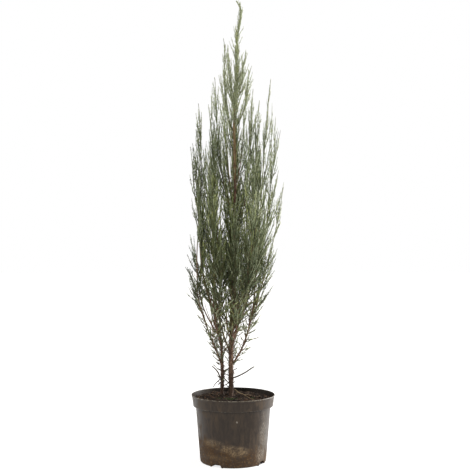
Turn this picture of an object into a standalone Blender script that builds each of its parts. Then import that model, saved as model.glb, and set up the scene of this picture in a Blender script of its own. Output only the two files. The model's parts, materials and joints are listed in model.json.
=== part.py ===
"""A young columnar rocky mountain juniper in a plastic nursery pot.

Metres, +Z up. The origin is the centre of the pot's underside, and -Y is the side that is seen first.
The pot holds a plug of potting mix. Two stems rise from it, boughs leave them, and each bough or stretch
of stem carries plumes: upright masses of needle sprays, each fused into one solid.
"""

import math

import bmesh
import bpy
import numpy as np

# Clearance between pieces that touch
GAP = 0.0003

# Pot
POT_HEIGHT = 0.180
POT_RIM_RADIUS = 0.1125
POT_BAND_FOOT_RADIUS = 0.1080
POT_BODY_TOP_RADIUS = 0.1012
POT_FOOT_RADIUS = 0.0888
POT_BAND_FOOT = 0.150
POT_WALL = 0.0018
POT_FLOOR = 0.0026
POT_FOOT_BEVEL = 0.004
POT_LIP_HEIGHT = 0.0025
POT_LIP_PROUD = 0.0015
POT_SEGMENTS = 32

# Drainage notches in the pot's foot, a quarter turn apart
NOTCH_COUNT = 4
NOTCH_FIRST_AZIMUTH = -120.0
NOTCH_WIDTH = 0.026
NOTCH_HEIGHT = 0.010
NOTCH_INNER_RADIUS = 0.066
NOTCH_ARC_STEPS = 5
NOTCH_SHOULDER = 0.45
DRAIN_WIDTH = 0.010
DRAIN_FOOT = 0.0030
DRAIN_TOP = 0.0075

# Potting mix: a plateau round the stems that falls to the wall
SOIL_PLATEAU_HEIGHT = 0.1740
SOIL_EDGE_HEIGHT = 0.1660
SOIL_PLATEAU_RADIUS = 0.055
SOIL_SLOPE_SHARES = (0.65, 0.3, 0.0)

# Stems: the points that each axis passes, from the potting mix up, and the radius at some heights
STEM_FOOT = SOIL_PLATEAU_HEIGHT + GAP
STEMS = {
    "main_stem": {
        "axis": (
            (-0.005, 0.004, STEM_FOOT),
            (-0.006, 0.004, 0.260),
            (-0.004, 0.005, 0.360),
            (0.000, 0.004, 0.520),
            (0.004, 0.000, 0.700),
            (0.005, -0.002, 0.820),
            (0.004, -0.002, 0.930),
            (0.010, 0.000, 1.010),
            (0.0105, 0.000, 1.090),
        ),
        "radii": ((STEM_FOOT, 0.0062), (0.600, 0.0052), (0.900, 0.0042), (1.090, 0.0016)),
    },
    "second_stem": {
        "axis": (
            (-0.030, 0.006, STEM_FOOT),
            (-0.0295, 0.008, 0.245),
            (-0.034, 0.009, 0.330),
            (-0.050, 0.011, 0.392),
            (-0.075, 0.013, 0.471),
        ),
        "radii": ((STEM_FOOT, 0.0047), (0.471, 0.0026)),
    },
}
STEM_RING_SPACING = 0.070
STEM_SIDES = 8
ROOT_FLARE = 0.55
ROOT_FLARE_HEIGHT = 0.012

# Boughs: the stem that each leaves and how high, the angle from upright at which it leaves,
# and its end's bearing (0 right, 90 back, 180 left, 270 front), reach from the Z axis and height
BOUGHS = {
    "bough_left_low": ("second_stem", 0.252, 20, 194, 0.100, 0.462),
    "bough_left_mid": ("second_stem", 0.328, 38, 157, 0.101, 0.452),
    "bough_left_inner": ("second_stem", 0.345, 12, 200, 0.035, 0.500),
    "bough_left_front": ("second_stem", 0.300, 35, 227, 0.076, 0.430),
    "bough_left_back": ("main_stem", 0.286, 38, 127, 0.076, 0.420),
    "bough_right_low": ("main_stem", 0.257, 42, 350, 0.057, 0.434),
    "bough_right_mid": ("main_stem", 0.345, 34, 17, 0.056, 0.520),
    "bough_right_front": ("main_stem", 0.385, 34, 309, 0.072, 0.510),
    "bough_right_back": ("main_stem", 0.325, 34, 55, 0.078, 0.460),
    "bough_front": ("main_stem", 0.295, 24, 286, 0.035, 0.372),
    "bough_back": ("main_stem", 0.415, 28, 94, 0.062, 0.550),
}
BOUGH_ROOT_SHARE = 0.55
BOUGH_ROOT_MOST = 0.0026
BOUGH_TIP_SHARE = 0.72
BOUGH_END_LEAN = 9
BOUGH_RINGS = 7
BOUGH_SIDES = 6

# Plumes: the limb that each grows from, the height where it leaves it (None: from the limb's tip),
# and its tip's bearing, reach and height
PLUMES = {
    "plume_leader": ("main_stem", None, 0, 0.016, 1.246),
    "plume_top_left": ("main_stem", 0.880, 167, 0.027, 1.143),
    "plume_top_front": ("main_stem", 0.950, 239, 0.023, 1.098),
    "plume_top_right": ("main_stem", 0.895, 5, 0.050, 1.068),
    "plume_top_inner": ("main_stem", 0.975, 341, 0.036, 1.105),
    "plume_top_back": ("main_stem", 0.925, 74, 0.037, 1.095),
    "plume_mid_left": ("main_stem", 0.660, 162, 0.053, 1.040),
    "plume_mid_right": ("main_stem", 0.620, 2, 0.054, 1.006),
    "plume_mid_back": ("main_stem", 0.580, 90, 0.050, 1.020),
    "plume_mid_front_left": ("main_stem", 0.700, 239, 0.051, 0.985),
    "plume_mid_front_right": ("main_stem", 0.740, 309, 0.054, 0.960),
    "plume_left_tall": ("second_stem", None, 174, 0.095, 0.968),
    "plume_left_inner": ("bough_left_inner", None, 201, 0.071, 0.960),
    "plume_left_outer": ("bough_left_low", None, 197, 0.119, 0.846),
    "plume_left_side": ("bough_left_low", 0.395, 196, 0.133, 0.525),
    "plume_left_thin": ("bough_left_mid", None, 154, 0.119, 0.725),
    "plume_left_back": ("bough_left_back", None, 132, 0.098, 0.870),
    "plume_left_front": ("bough_left_front", None, 232, 0.101, 0.790),
    "plume_left_foot": ("bough_left_low", 0.300, 211, 0.088, 0.430),
    "plume_left_low": ("bough_left_front", 0.350, 219, 0.108, 0.500),
    "plume_front_centre": ("bough_front", None, 273, 0.066, 0.690),
    "plume_front_left": ("bough_left_front", 0.385, 250, 0.101, 0.610),
    "plume_front_foot": ("main_stem", 0.318, 236, 0.045, 0.480),
    "plume_front_low": ("main_stem", 0.350, 305, 0.062, 0.520),
    "plume_right_tall": ("bough_right_low", None, 358, 0.102, 1.032),
    "plume_right_far": ("bough_right_low", 0.405, 349, 0.137, 0.738),
    "plume_right_side": ("bough_right_low", 0.395, 336, 0.118, 0.570),
    "plume_right_foot": ("bough_right_low", 0.330, 12, 0.072, 0.465),
    "plume_right_mid": ("bough_right_mid", None, 17, 0.075, 0.978),
    "plume_right_outer": ("bough_right_mid", 0.475, 15, 0.128, 0.893),
    "plume_right_front": ("bough_right_front", None, 311, 0.098, 0.850),
    "plume_right_low": ("bough_right_front", 0.465, 318, 0.128, 0.655),
    "plume_right_back": ("bough_right_back", None, 48, 0.105, 0.905),
    "plume_back": ("bough_back", None, 96, 0.098, 0.880),
    "plume_back_left": ("bough_left_back", 0.375, 113, 0.118, 0.650),
    "plume_back_right": ("bough_right_back", 0.410, 70, 0.122, 0.680),
    "plume_back_foot": ("main_stem", 0.330, 88, 0.058, 0.500),
    "twig_low_left": ("second_stem", 0.218, 188, 0.057, 0.256),
    "twig_low_right": ("main_stem", 0.222, 350, 0.057, 0.255),
}
PLUME_ROOT_MOST = 0.0018
PLUME_ROOT_SHARE = 0.8
PLUME_CORE_RADIUS = 0.0014
PLUME_LEAVES_OUTWARD = 20
PLUME_ENDS_UPRIGHT = 12
PLUME_LEAST_LEAN = 2
PLUME_BARE_SEGMENTS = 4
PLUME_LEADER_SHARE = 0.30
PLUME_LEADER_LONGEST = 0.110
SPINE_POINTS = 20

# Shoots: each is a slim core whose faces are drawn out into needles
SHOOT_SPACING = 0.047
SHOOT_LEAST_COUNT = 3
SHOOT_FIRST_SHARE = 0.06
SHOOT_LAST_SHARE = 0.86
SHOOT_LENGTHS = ((0.22, 0.055), (0.34, 0.085), (0.46, 0.120), (0.80, 0.115), (1.20, 0.050))
SHOOT_MOST_OF_SPINE = 0.45
SHOOT_MOST_OF_REST = 0.85
SHOOT_LENGTH_DRAW = (0.85, 1.0)
SHOOT_TURN_DRAW = 0.3
SHOOT_LEAVES_AT = 32
SHOOT_END_LEAN = 8
SHOOT_RADIUS = 0.0024
SHOOT_FULLNESS = (0.60, 0.95, 1.00, 0.75, 0.0)
SHOOT_SEGMENTS = len(SHOOT_FULLNESS) - 1
SHOOT_BARE_SEGMENTS = 1
SHOOT_TURN_TRIES = 6
SHOOT_LENGTH_TRIES = (1.0, 0.78, 0.6, 0.45)
NEEDLE_REACH = 0.0105
NEEDLE_RISE = 0.022
FULL_NEEDLE_SEGMENT = 0.027
GOLDEN_TURN = math.radians(137.5)

# How much nearer a needle's tip, or a shoot's core, has to be to its own spine than to the next
NEEDLE_MARGIN = 0.0015
CORE_MARGIN = 2 * (SHOOT_RADIUS + GAP)

# How far a needle's tip, or a shoot's core, stays off the bark
NEEDLE_CLEARANCE = 0.0012
CORE_CLEARANCE = SHOOT_RADIUS + 0.0008

# The parting in front of the trunk, where its bark shows between the plumes
PARTING_LOW = 0.69
PARTING_HIGH = 0.93
PARTING_HALF_WIDTH = 0.009

# Crown outline: at each height, how far from the Z axis the foliage reaches on its left and on its right
CROWN_OUTLINE = (
    (0.20, 0.062, 0.062),
    (0.30, 0.066, 0.066),
    (0.36, 0.080, 0.066),
    (0.44, 0.106, 0.080),
    (0.49, 0.134, 0.106),
    (0.56, 0.126, 0.124),
    (0.66, 0.119, 0.130),
    (0.76, 0.118, 0.142),
    (0.84, 0.121, 0.130),
    (0.90, 0.113, 0.130),
    (0.96, 0.100, 0.112),
    (1.03, 0.064, 0.106),
    (1.08, 0.050, 0.062),
    (1.14, 0.032, 0.040),
    (1.25, 0.024, 0.024),
)

# Edges sharper than this stay sharp on the round pieces
POT_SHARP_ANGLE = 30
BARK_SHARP_ANGLE = 50

# Colours, roughness and metallic value
POT_PLASTIC = (0.045, 0.038, 0.033, 0.55, 0.0)
POTTING_MIX = (0.035, 0.024, 0.017, 0.95, 0.0)
BARK = (0.155, 0.085, 0.052, 0.85, 0.0)
NEEDLES = (0.105, 0.135, 0.075, 0.70, 0.0)

UP = np.array((0.0, 0.0, 1.0))


def clear_scene():
    for obj in list(bpy.data.objects):
        bpy.data.objects.remove(obj)


def material(name, finish):
    made = bpy.data.materials.new(name)
    made.use_nodes = True
    shader = made.node_tree.nodes["Principled BSDF"]
    shader.inputs["Base Color"].default_value = (*finish[:3], 1.0)
    shader.inputs["Roughness"].default_value = finish[3]
    shader.inputs["Metallic"].default_value = finish[4]
    return made


def add_object(name, mesh, collection=None):
    obj = bpy.data.objects.new(name, mesh)
    (collection or bpy.context.scene.collection).objects.link(obj)
    return obj


def mesh_of(name, points, faces):
    mesh = bpy.data.meshes.new(name)
    mesh.from_pydata([tuple(map(float, p)) for p in points], [], faces)
    return mesh


def unit(vector):
    return vector / np.linalg.norm(vector)


def smooth_axis(points, count):
    """count points on the Catmull-Rom curve through points, evenly shared along it."""
    p = np.array(points, float)
    ends = np.vstack([2 * p[0] - p[1], p, 2 * p[-1] - p[-2]])
    place = np.linspace(0, len(p) - 1, count)
    span = np.minimum(place.astype(int), len(p) - 2)
    t = (place - span)[:, None]
    a, b, c, d = (ends[span + k] for k in range(4))
    bend, twist = 2 * a - 5 * b + 4 * c - d, 3 * b - a - 3 * c + d
    return b + 0.5 * ((c - a) * t + bend * t**2 + twist * t**3)


def lean_of(direction):
    """The angle in degrees between upright and a unit direction."""
    return math.degrees(math.acos(direction[2]))


def leaning(outward, degrees):
    """The direction that leans from upright towards outward, a level unit vector."""
    angle = math.radians(degrees)
    return outward * math.sin(angle) + UP * math.cos(angle)


def polar(bearing, reach, height):
    """The point at that bearing and reach from the Z axis."""
    angle = math.radians(bearing)
    return np.array((reach * math.cos(angle), reach * math.sin(angle), height))


def arching(start, end, leaves_at, end_lean, count):
    """count points from start to end that leave at one angle from upright and arrive at another."""
    outward = unit((end - start) * (1, 1, 0))
    reach = np.linalg.norm(end - start)
    t = np.linspace(0, 1, count)[:, None]
    first, last = leaning(outward, leaves_at) * reach, leaning(outward, end_lean) * reach
    return (
        (2 * t**3 - 3 * t**2 + 1) * start
        + (t**3 - 2 * t**2 + t) * first
        + (3 * t**2 - 2 * t**3) * end
        + (t**3 - t**2) * last
    )


def at_share(line, share):
    """The place at that share of a line of points."""
    place = np.asarray(share) * (len(line) - 1)
    low = np.minimum(place.astype(int), len(line) - 2)
    return line[low] + (line[low + 1] - line[low]) * (place - low)[..., None]


def rings_along(points, radii, sides):
    """Rings of points square to the line, turned along it without twisting."""
    points = np.asarray(points, float)
    along = np.gradient(points, axis=0)
    along /= np.linalg.norm(along, axis=1)[:, None]
    side = unit(np.cross(along[0], (0.31, 0.95, 0.02)))
    angles = np.arange(sides) * 2 * math.pi / sides
    rings = []
    for point, direction, radius in zip(points, along, radii):
        side = unit(side - direction * np.dot(side, direction))
        around = np.outer(np.cos(angles), side) + np.outer(np.sin(angles), np.cross(direction, side))
        rings.append(point + radius * around)
    return rings


def tube(name, points, radii, sides):
    """A closed tapering tube with flat ends."""
    vertices = np.vstack(rings_along(points, radii, sides))
    faces = [tuple(range(sides))[::-1]]
    for low in range(0, len(vertices) - sides, sides):
        high = low + sides
        faces += [(low + k, low + (k + 1) % sides, high + (k + 1) % sides, high + k) for k in range(sides)]
    faces.append(tuple(range(len(vertices) - sides, len(vertices))))
    return mesh_of(name, vertices, faces)


def lathe(name, profile, segments):
    """The solid turned by a closed profile of (radius, height) round the Z axis."""
    form = bmesh.new()
    vertices = [form.verts.new((radius, 0.0, height)) for radius, height in profile]
    edges = [form.edges.new(pair) for pair in zip(vertices, vertices[1:])]
    if profile[0][0] > 0:
        edges.append(form.edges.new((vertices[-1], vertices[0])))
    bmesh.ops.spin(
        form,
        geom=vertices + edges,
        axis=(0, 0, 1),
        cent=(0, 0, 0),
        angle=2 * math.pi,
        steps=segments,
        use_merge=True,
    )
    bmesh.ops.remove_doubles(form, verts=form.verts, dist=1e-6)
    bmesh.ops.recalc_face_normals(form, faces=form.faces)
    mesh = bpy.data.meshes.new(name)
    form.to_mesh(mesh)
    form.free()
    return mesh


def combine(target, meshes, operation, name):
    """Applies one Boolean between the target object and the meshes, and removes their objects."""
    others = bpy.data.collections.new(name)
    bpy.context.scene.collection.children.link(others)
    for mesh in meshes:
        add_object(name, mesh, others)
    boolean = target.modifiers.new(name, "BOOLEAN")
    boolean.operation = operation
    boolean.solver = "MANIFOLD"
    boolean.operand_type = "COLLECTION"
    boolean.collection = others
    graph = bpy.context.evaluated_depsgraph_get()
    result = bpy.data.meshes.new_from_object(target.evaluated_get(graph))
    target.modifiers.clear()
    target.data = result
    for obj in list(others.objects):
        bpy.data.objects.remove(obj)
    bpy.data.collections.remove(others)


def dress(obj, finish, sharp_angle=None):
    """Gives the object its material, and smooth shading where it is round."""
    obj.data.materials.clear()
    obj.data.materials.append(finish)
    if sharp_angle:
        obj.data.shade_smooth()
        obj.data.set_sharp_from_angle(angle=math.radians(sharp_angle))


def pot_outer_profile():
    """The pot's outer side from its foot to its rim."""
    return [
        (POT_FOOT_RADIUS - POT_FOOT_BEVEL, 0.0),
        (POT_FOOT_RADIUS, POT_FOOT_BEVEL),
        (POT_BODY_TOP_RADIUS, POT_BAND_FOOT),
        (POT_BAND_FOOT_RADIUS, POT_BAND_FOOT),
        (POT_RIM_RADIUS - POT_LIP_PROUD, POT_HEIGHT - 2 * POT_LIP_HEIGHT),
        (POT_RIM_RADIUS, POT_HEIGHT - POT_LIP_HEIGHT),
        (POT_RIM_RADIUS, POT_HEIGHT),
    ]


def pot_inner_profile(clear=0.0):
    """The pot's inner side from its floor to its rim, or what stands that much clear of it."""
    inset = POT_WALL + clear
    return [
        (POT_FOOT_RADIUS - POT_FOOT_BEVEL - inset, POT_FLOOR + clear),
        (POT_FOOT_RADIUS - inset, POT_FLOOR + POT_FOOT_BEVEL + clear),
        (POT_BODY_TOP_RADIUS - inset, POT_BAND_FOOT + inset),
        (POT_BAND_FOOT_RADIUS - inset, POT_BAND_FOOT + inset),
        (POT_RIM_RADIUS - inset, POT_HEIGHT),
    ]


def notch_prism(name, azimuth, grow, outer):
    """An arch-topped radial bar across the pot's foot, larger all round by grow."""
    half, top = NOTCH_WIDTH / 2 + grow, NOTCH_HEIGHT + grow
    shoulder = NOTCH_SHOULDER * top
    arch = [(-half, -NOTCH_HEIGHT), (half, -NOTCH_HEIGHT)]
    for step in range(NOTCH_ARC_STEPS + 1):
        angle = math.pi * step / NOTCH_ARC_STEPS
        arch.append((half * math.cos(angle), shoulder + (top - shoulder) * math.sin(angle)))
    return radial_bar(name, azimuth, arch, NOTCH_INNER_RADIUS - grow, outer)


def radial_bar(name, azimuth, outline, inner, outer):
    """A bar with the given (sideways, height) outline that runs out from the Z axis."""
    angle = math.radians(azimuth)
    out = np.array((math.cos(angle), math.sin(angle), 0.0))
    side = np.cross(UP, out)
    count = len(outline)
    points = [out * far + side * x + UP * z for far in (inner, outer) for x, z in outline]
    faces = [tuple(range(count))[::-1], tuple(range(count, 2 * count))]
    faces += [(k, (k + 1) % count, count + (k + 1) % count, count + k) for k in range(count)]
    mesh = mesh_of(name, points, faces)
    outward = bmesh.new()
    outward.from_mesh(mesh)
    bmesh.ops.recalc_face_normals(outward, faces=outward.faces)
    outward.to_mesh(mesh)
    outward.free()
    return mesh


def notch_azimuths():
    return [NOTCH_FIRST_AZIMUTH + k * 360 / NOTCH_COUNT for k in range(NOTCH_COUNT)]


def build_pot(finish):
    solid = [(0.0, 0.0), *pot_outer_profile(), *reversed(pot_inner_profile()), (0.0, POT_FLOOR)]
    pot = add_object("pot", lathe("pot", solid, POT_SEGMENTS))
    within_wall = POT_FOOT_RADIUS - POT_WALL / 2
    housings = [notch_prism("housing", azimuth, POT_WALL, within_wall) for azimuth in notch_azimuths()]
    combine(pot, housings, "UNION", "housings")
    notches = [notch_prism("notch", azimuth, 0.0, POT_RIM_RADIUS) for azimuth in notch_azimuths()]
    combine(pot, notches, "DIFFERENCE", "notches")
    half = DRAIN_WIDTH / 2
    drain = [(-half, DRAIN_FOOT), (half, DRAIN_FOOT), (half, DRAIN_TOP), (-half, DRAIN_TOP)]
    inside = NOTCH_INNER_RADIUS - 3 * POT_WALL
    drains = [radial_bar("drain", azimuth, drain, inside, POT_RIM_RADIUS) for azimuth in notch_azimuths()]
    combine(pot, drains, "DIFFERENCE", "drains")
    wide = 2 * POT_RIM_RADIUS
    below = [(-wide, -NOTCH_HEIGHT), (wide, -NOTCH_HEIGHT), (wide, 0.0), (-wide, 0.0)]
    combine(pot, [radial_bar("below", 0, below, -wide, wide)], "DIFFERENCE", "below")
    dress(pot, finish, POT_SHARP_ANGLE)


def build_potting_mix(finish):
    *foot, band, rim = pot_inner_profile(GAP)
    share = (SOIL_EDGE_HEIGHT - band[1]) / (rim[1] - band[1])
    edge = band[0] + (rim[0] - band[0]) * share
    rise = SOIL_PLATEAU_HEIGHT - SOIL_EDGE_HEIGHT
    slope = [
        (SOIL_PLATEAU_RADIUS + (edge - SOIL_PLATEAU_RADIUS) * out, SOIL_EDGE_HEIGHT + rise * (1 - out**2))
        for out in SOIL_SLOPE_SHARES
    ]
    profile = [(0.0, foot[0][1]), *foot, band, (edge, SOIL_EDGE_HEIGHT), *slope, (0.0, SOIL_PLATEAU_HEIGHT)]
    soil = add_object("potting_mix", lathe("potting_mix", profile, POT_SEGMENTS))
    clear = [notch_prism("clear", azimuth, POT_WALL + GAP, POT_RIM_RADIUS) for azimuth in notch_azimuths()]
    combine(soil, clear, "DIFFERENCE", "clear")
    dress(soil, finish)


class Limb:
    """A stem or bough: its axis and its radii, which the pieces that leave it are cut to."""

    def __init__(self, name, axis, radii, sides):
        self.name, self.axis, self.radii, self.sides = name, axis, radii, sides

    def at_height(self, height):
        """(point, radius) on the axis at that height."""
        heights = self.axis[:, 2]
        point = np.array([np.interp(height, heights, self.axis[:, k]) for k in range(3)])
        return point, float(np.interp(height, heights, self.radii))

    def tip(self):
        return self.axis[-1], float(self.radii[-1])

    def grown(self):
        """A cutter that leaves the touching clearance round this limb."""
        return tube(self.name + "_grown", self.axis, self.radii + GAP, self.sides)


def stem_limbs():
    limbs = {}
    for name, facts in STEMS.items():
        rise = facts["axis"][-1][2] - STEM_FOOT
        axis = smooth_axis(facts["axis"], round(rise / STEM_RING_SPACING) + 1)
        first = axis[0] + (axis[1] - axis[0]) * ROOT_FLARE_HEIGHT / np.linalg.norm(axis[1] - axis[0])
        axis = np.vstack([axis[0], (axis[0] + first) / 2, first, axis[1:]])
        radii = np.interp(axis[:, 2], *zip(*facts["radii"]))
        above = np.clip(1 - (axis[:, 2] - axis[0, 2]) / ROOT_FLARE_HEIGHT, 0, 1)
        limbs[name] = Limb(name, axis, radii * (1 + ROOT_FLARE * above**2), STEM_SIDES)
    return limbs


def bough_limbs(stems):
    limbs = {}
    for name, (stem, height, leaves_at, *end) in BOUGHS.items():
        start, stem_radius = stems[stem].at_height(height)
        root = min(stem_radius * BOUGH_ROOT_SHARE, BOUGH_ROOT_MOST)
        axis = arching(start, polar(*end), leaves_at, BOUGH_END_LEAN, BOUGH_RINGS)
        radii = np.linspace(root, root * BOUGH_TIP_SHARE, BOUGH_RINGS)
        limbs[name] = Limb(name, axis, radii, BOUGH_SIDES)
    return limbs


def build_limbs(limbs, finish):
    for name, limb in limbs.items():
        obj = add_object(name, tube(name, limb.axis, limb.radii, limb.sides))
        if name in BOUGHS:
            combine(obj, [limbs[BOUGHS[name][0]].grown()], "DIFFERENCE", "seat")
        dress(obj, finish, BARK_SHARP_ANGLE)


def plume_spines(limbs):
    """For each plume, its spine's points and its radius at the root."""
    spines = {}
    for name, (limb, height, *tip) in PLUMES.items():
        if height is None:
            start, radius = limbs[limb].tip()
            along = unit(limbs[limb].axis[-1] - limbs[limb].axis[-2])
            leaves_at = lean_of(along)
            start = start + along * GAP
            ends_at = PLUME_LEAST_LEAN
        else:
            start, limb_radius = limbs[limb].at_height(height)
            radius = min(PLUME_ROOT_SHARE * limb_radius, PLUME_ROOT_MOST)
            chord = lean_of(unit(polar(*tip) - start))
            leaves_at = chord + PLUME_LEAVES_OUTWARD
            ends_at = max(PLUME_LEAST_LEAN, chord - PLUME_ENDS_UPRIGHT)
        spines[name] = (arching(start, polar(*tip), leaves_at, ends_at, SPINE_POINTS), radius)
    return spines


class Lines:
    """Lines of points with radii, and the distances from any point to each of them."""

    def __init__(self, lines):
        self.start = np.vstack([line[:-1] for line, _ in lines])
        self.step = np.vstack([np.diff(line, axis=0) for line, _ in lines])
        self.radius = np.concatenate([np.broadcast_to(radius, len(line))[:-1] for line, radius in lines])
        self.first = np.cumsum([0] + [len(line) - 1 for line, _ in lines[:-1]])

    def distances(self, points):
        """A row for each point, with its distance to the axis of each line."""
        return np.minimum.reduceat(self.to_segments(points), self.first, axis=1)

    def clearance(self, points):
        """The least distance from the points to any line's surface."""
        return (self.to_segments(points) - self.radius).min()

    def to_segments(self, points):
        offset = points[:, None, :] - self.start
        share = np.clip((offset * self.step).sum(2) / (self.step**2).sum(1), 0, 1)
        return np.linalg.norm(offset - share[..., None] * self.step, axis=2)


class Space:
    """The room of each plume: nearer its own spine than any other, within the crown and off the bark."""

    def __init__(self, spines, limbs):
        self.spines = Lines(list(spines.values()))
        self.limbs = Lines([(limb.axis, limb.radii) for limb in limbs.values()])
        self.trunk = limbs["main_stem"].axis

    def holds(self, number, points, margin, clearance):
        """Whether the points are all in the room of that plume."""
        x, y, z = points.T
        from_axis = np.hypot(x, y)
        heights, left, right = zip(*CROWN_OUTLINE)
        share = 0.5 + 0.5 * x / np.maximum(from_axis, GAP)
        outline = np.interp(z, heights, left) * (1 - share) + np.interp(z, heights, right) * share
        if (from_axis > outline).any():
            return False
        trunk_x, trunk_y = (np.interp(z, self.trunk[:, 2], self.trunk[:, k]) for k in (0, 1))
        in_parting = (z > PARTING_LOW) & (z < PARTING_HIGH) & (y < trunk_y)
        if (in_parting & (abs(x - trunk_x) < PARTING_HALF_WIDTH)).any():
            return False
        far = self.spines.distances(points)
        own = far[:, number].copy()
        far[:, number] = np.inf
        return (far.min(axis=1) > own + margin).all() and self.limbs.clearance(points) > clearance


def shoot_line(spine, share, turn, length):
    """The line of one shoot, which leaves the spine outwards and bends upright."""
    root = at_share(spine, share)
    along = unit(at_share(spine, min(1, share + 1 / SPINE_POINTS)) - root)
    side = unit(np.cross(along, (0.2, 1.0, 0.0)))
    outward = side * math.cos(turn) + np.cross(along, side) * math.sin(turn)
    leaves, ends = math.radians(SHOOT_LEAVES_AT), math.radians(SHOOT_END_LEAN)
    first = along * math.cos(leaves) + outward * math.sin(leaves)
    last = along * math.cos(ends) + outward * math.sin(ends)
    t = np.linspace(0, 1, SHOOT_SEGMENTS + 1)[:, None]
    return root + length * (first * t + (last - first) * t**2 / 2)


def shoot_radii():
    """The radii of a shoot's core, from its foot to its point."""
    return SHOOT_RADIUS * np.array(SHOOT_FULLNESS)


def sprig(name, points, radii, bare_segments, fits):
    """A three-sided twig with a pointed end, whose faces past its bare foot are drawn out into needles."""
    rings = rings_along(points, radii, 3)[:-1]
    vertices = [*np.vstack(rings), points[-1]]
    faces = [(2, 1, 0)]
    for segment, (ring, next_ring) in enumerate(zip(rings, rings[1:])):
        low = segment * 3
        along = unit(points[segment + 1] - points[segment])
        for k in range(3):
            after = (k + 1) % 3
            corners = (low + k, low + after, low + 3 + after, low + 3 + k)
            middle = (ring[k] + ring[after] + next_ring[k] + next_ring[after]) / 4
            outward = unit(middle - (points[segment] + points[segment + 1]) / 2)
            long = min(1, np.linalg.norm(points[segment + 1] - points[segment]) / FULL_NEEDLE_SEGMENT)
            tip = middle + long * (outward * NEEDLE_REACH + along * NEEDLE_RISE)
            if segment < bare_segments or not fits(np.array([tip, (middle + tip) / 2])):
                faces.append(corners)
                continue
            faces += [(one, two, len(vertices)) for one, two in zip(corners, corners[1:] + corners[:1])]
            vertices.append(tip)
    last = 3 * len(rings) - 3
    faces += [(last + k, last + (k + 1) % 3, 3 * len(rings)) for k in range(3)]
    return mesh_of(name, vertices, faces)


def build_plume(number, name, spines, space, limbs, finish):
    """One mass: its stem with a leading shoot, and the side shoots that fit in its space."""
    spine, radius = spines[name]
    limb, height = PLUMES[name][:2]
    length = np.linalg.norm(np.diff(spine, axis=0), axis=1).sum()

    def needle_fits(points):
        return space.holds(number, points, NEEDLE_MARGIN, NEEDLE_CLEARANCE)

    leader = min(PLUME_LEADER_SHARE, PLUME_LEADER_LONGEST / length)
    bare_shares = np.linspace(0, 1 - leader, PLUME_BARE_SEGMENTS, endpoint=False)
    shares = np.concatenate([bare_shares, np.linspace(1 - leader, 1, SHOOT_SEGMENTS + 1)])
    bare_radii = np.linspace(radius, PLUME_CORE_RADIUS, PLUME_BARE_SEGMENTS, endpoint=False)
    radii = np.concatenate([bare_radii, np.maximum(PLUME_CORE_RADIUS, shoot_radii())])
    plume = add_object(name, sprig(name, at_share(spine, shares), radii, PLUME_BARE_SEGMENTS, needle_fits))

    count = max(SHOOT_LEAST_COUNT, round(length / SHOOT_SPACING))
    draw = np.random.default_rng(number)
    shoots = []
    for k, share in enumerate(np.linspace(SHOOT_FIRST_SHARE, SHOOT_LAST_SHARE, count)):
        longest = np.interp(at_share(spine, share)[2], *zip(*SHOOT_LENGTHS))
        longest = min(longest, length * SHOOT_MOST_OF_SPINE, length * (1 - share) * SHOOT_MOST_OF_REST)
        longest *= draw.uniform(*SHOOT_LENGTH_DRAW)
        turn = number + k * GOLDEN_TURN + draw.uniform(-SHOOT_TURN_DRAW, SHOOT_TURN_DRAW)
        for shorter, step in [(a, b) for a in SHOOT_LENGTH_TRIES for b in range(SHOOT_TURN_TRIES)]:
            line = shoot_line(spine, share, turn + step * 2 * math.pi / SHOOT_TURN_TRIES, longest * shorter)
            if space.holds(number, line[1:], CORE_MARGIN, CORE_CLEARANCE):
                shoots.append(sprig("shoot", line, shoot_radii(), SHOOT_BARE_SEGMENTS, needle_fits))
                break
    combine(plume, shoots, "UNION", "shoots")
    if height is not None:
        combine(plume, [limbs[limb].grown()], "DIFFERENCE", "seat")
    dress(plume, finish)


def main():
    clear_scene()
    build_pot(material("pot_plastic", POT_PLASTIC))
    build_potting_mix(material("potting_mix", POTTING_MIX))
    stems = stem_limbs()
    limbs = {**stems, **bough_limbs(stems)}
    build_limbs(limbs, material("bark", BARK))
    spines = plume_spines(limbs)
    space = Space(spines, limbs)
    needles = material("needles", NEEDLES)
    for number, name in enumerate(PLUMES):
        build_plume(number, name, spines, space, limbs, needles)


main()
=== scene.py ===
"""The looks of a young columnar rocky mountain juniper in a plastic nursery pot.

Metres, +Z up, with the origin under the middle of the pot. The limbs and the plumes grow by the rule of the
solids, and are carried on to finer shoots and twiglets within the same reach.
"""

import json
import math

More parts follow.
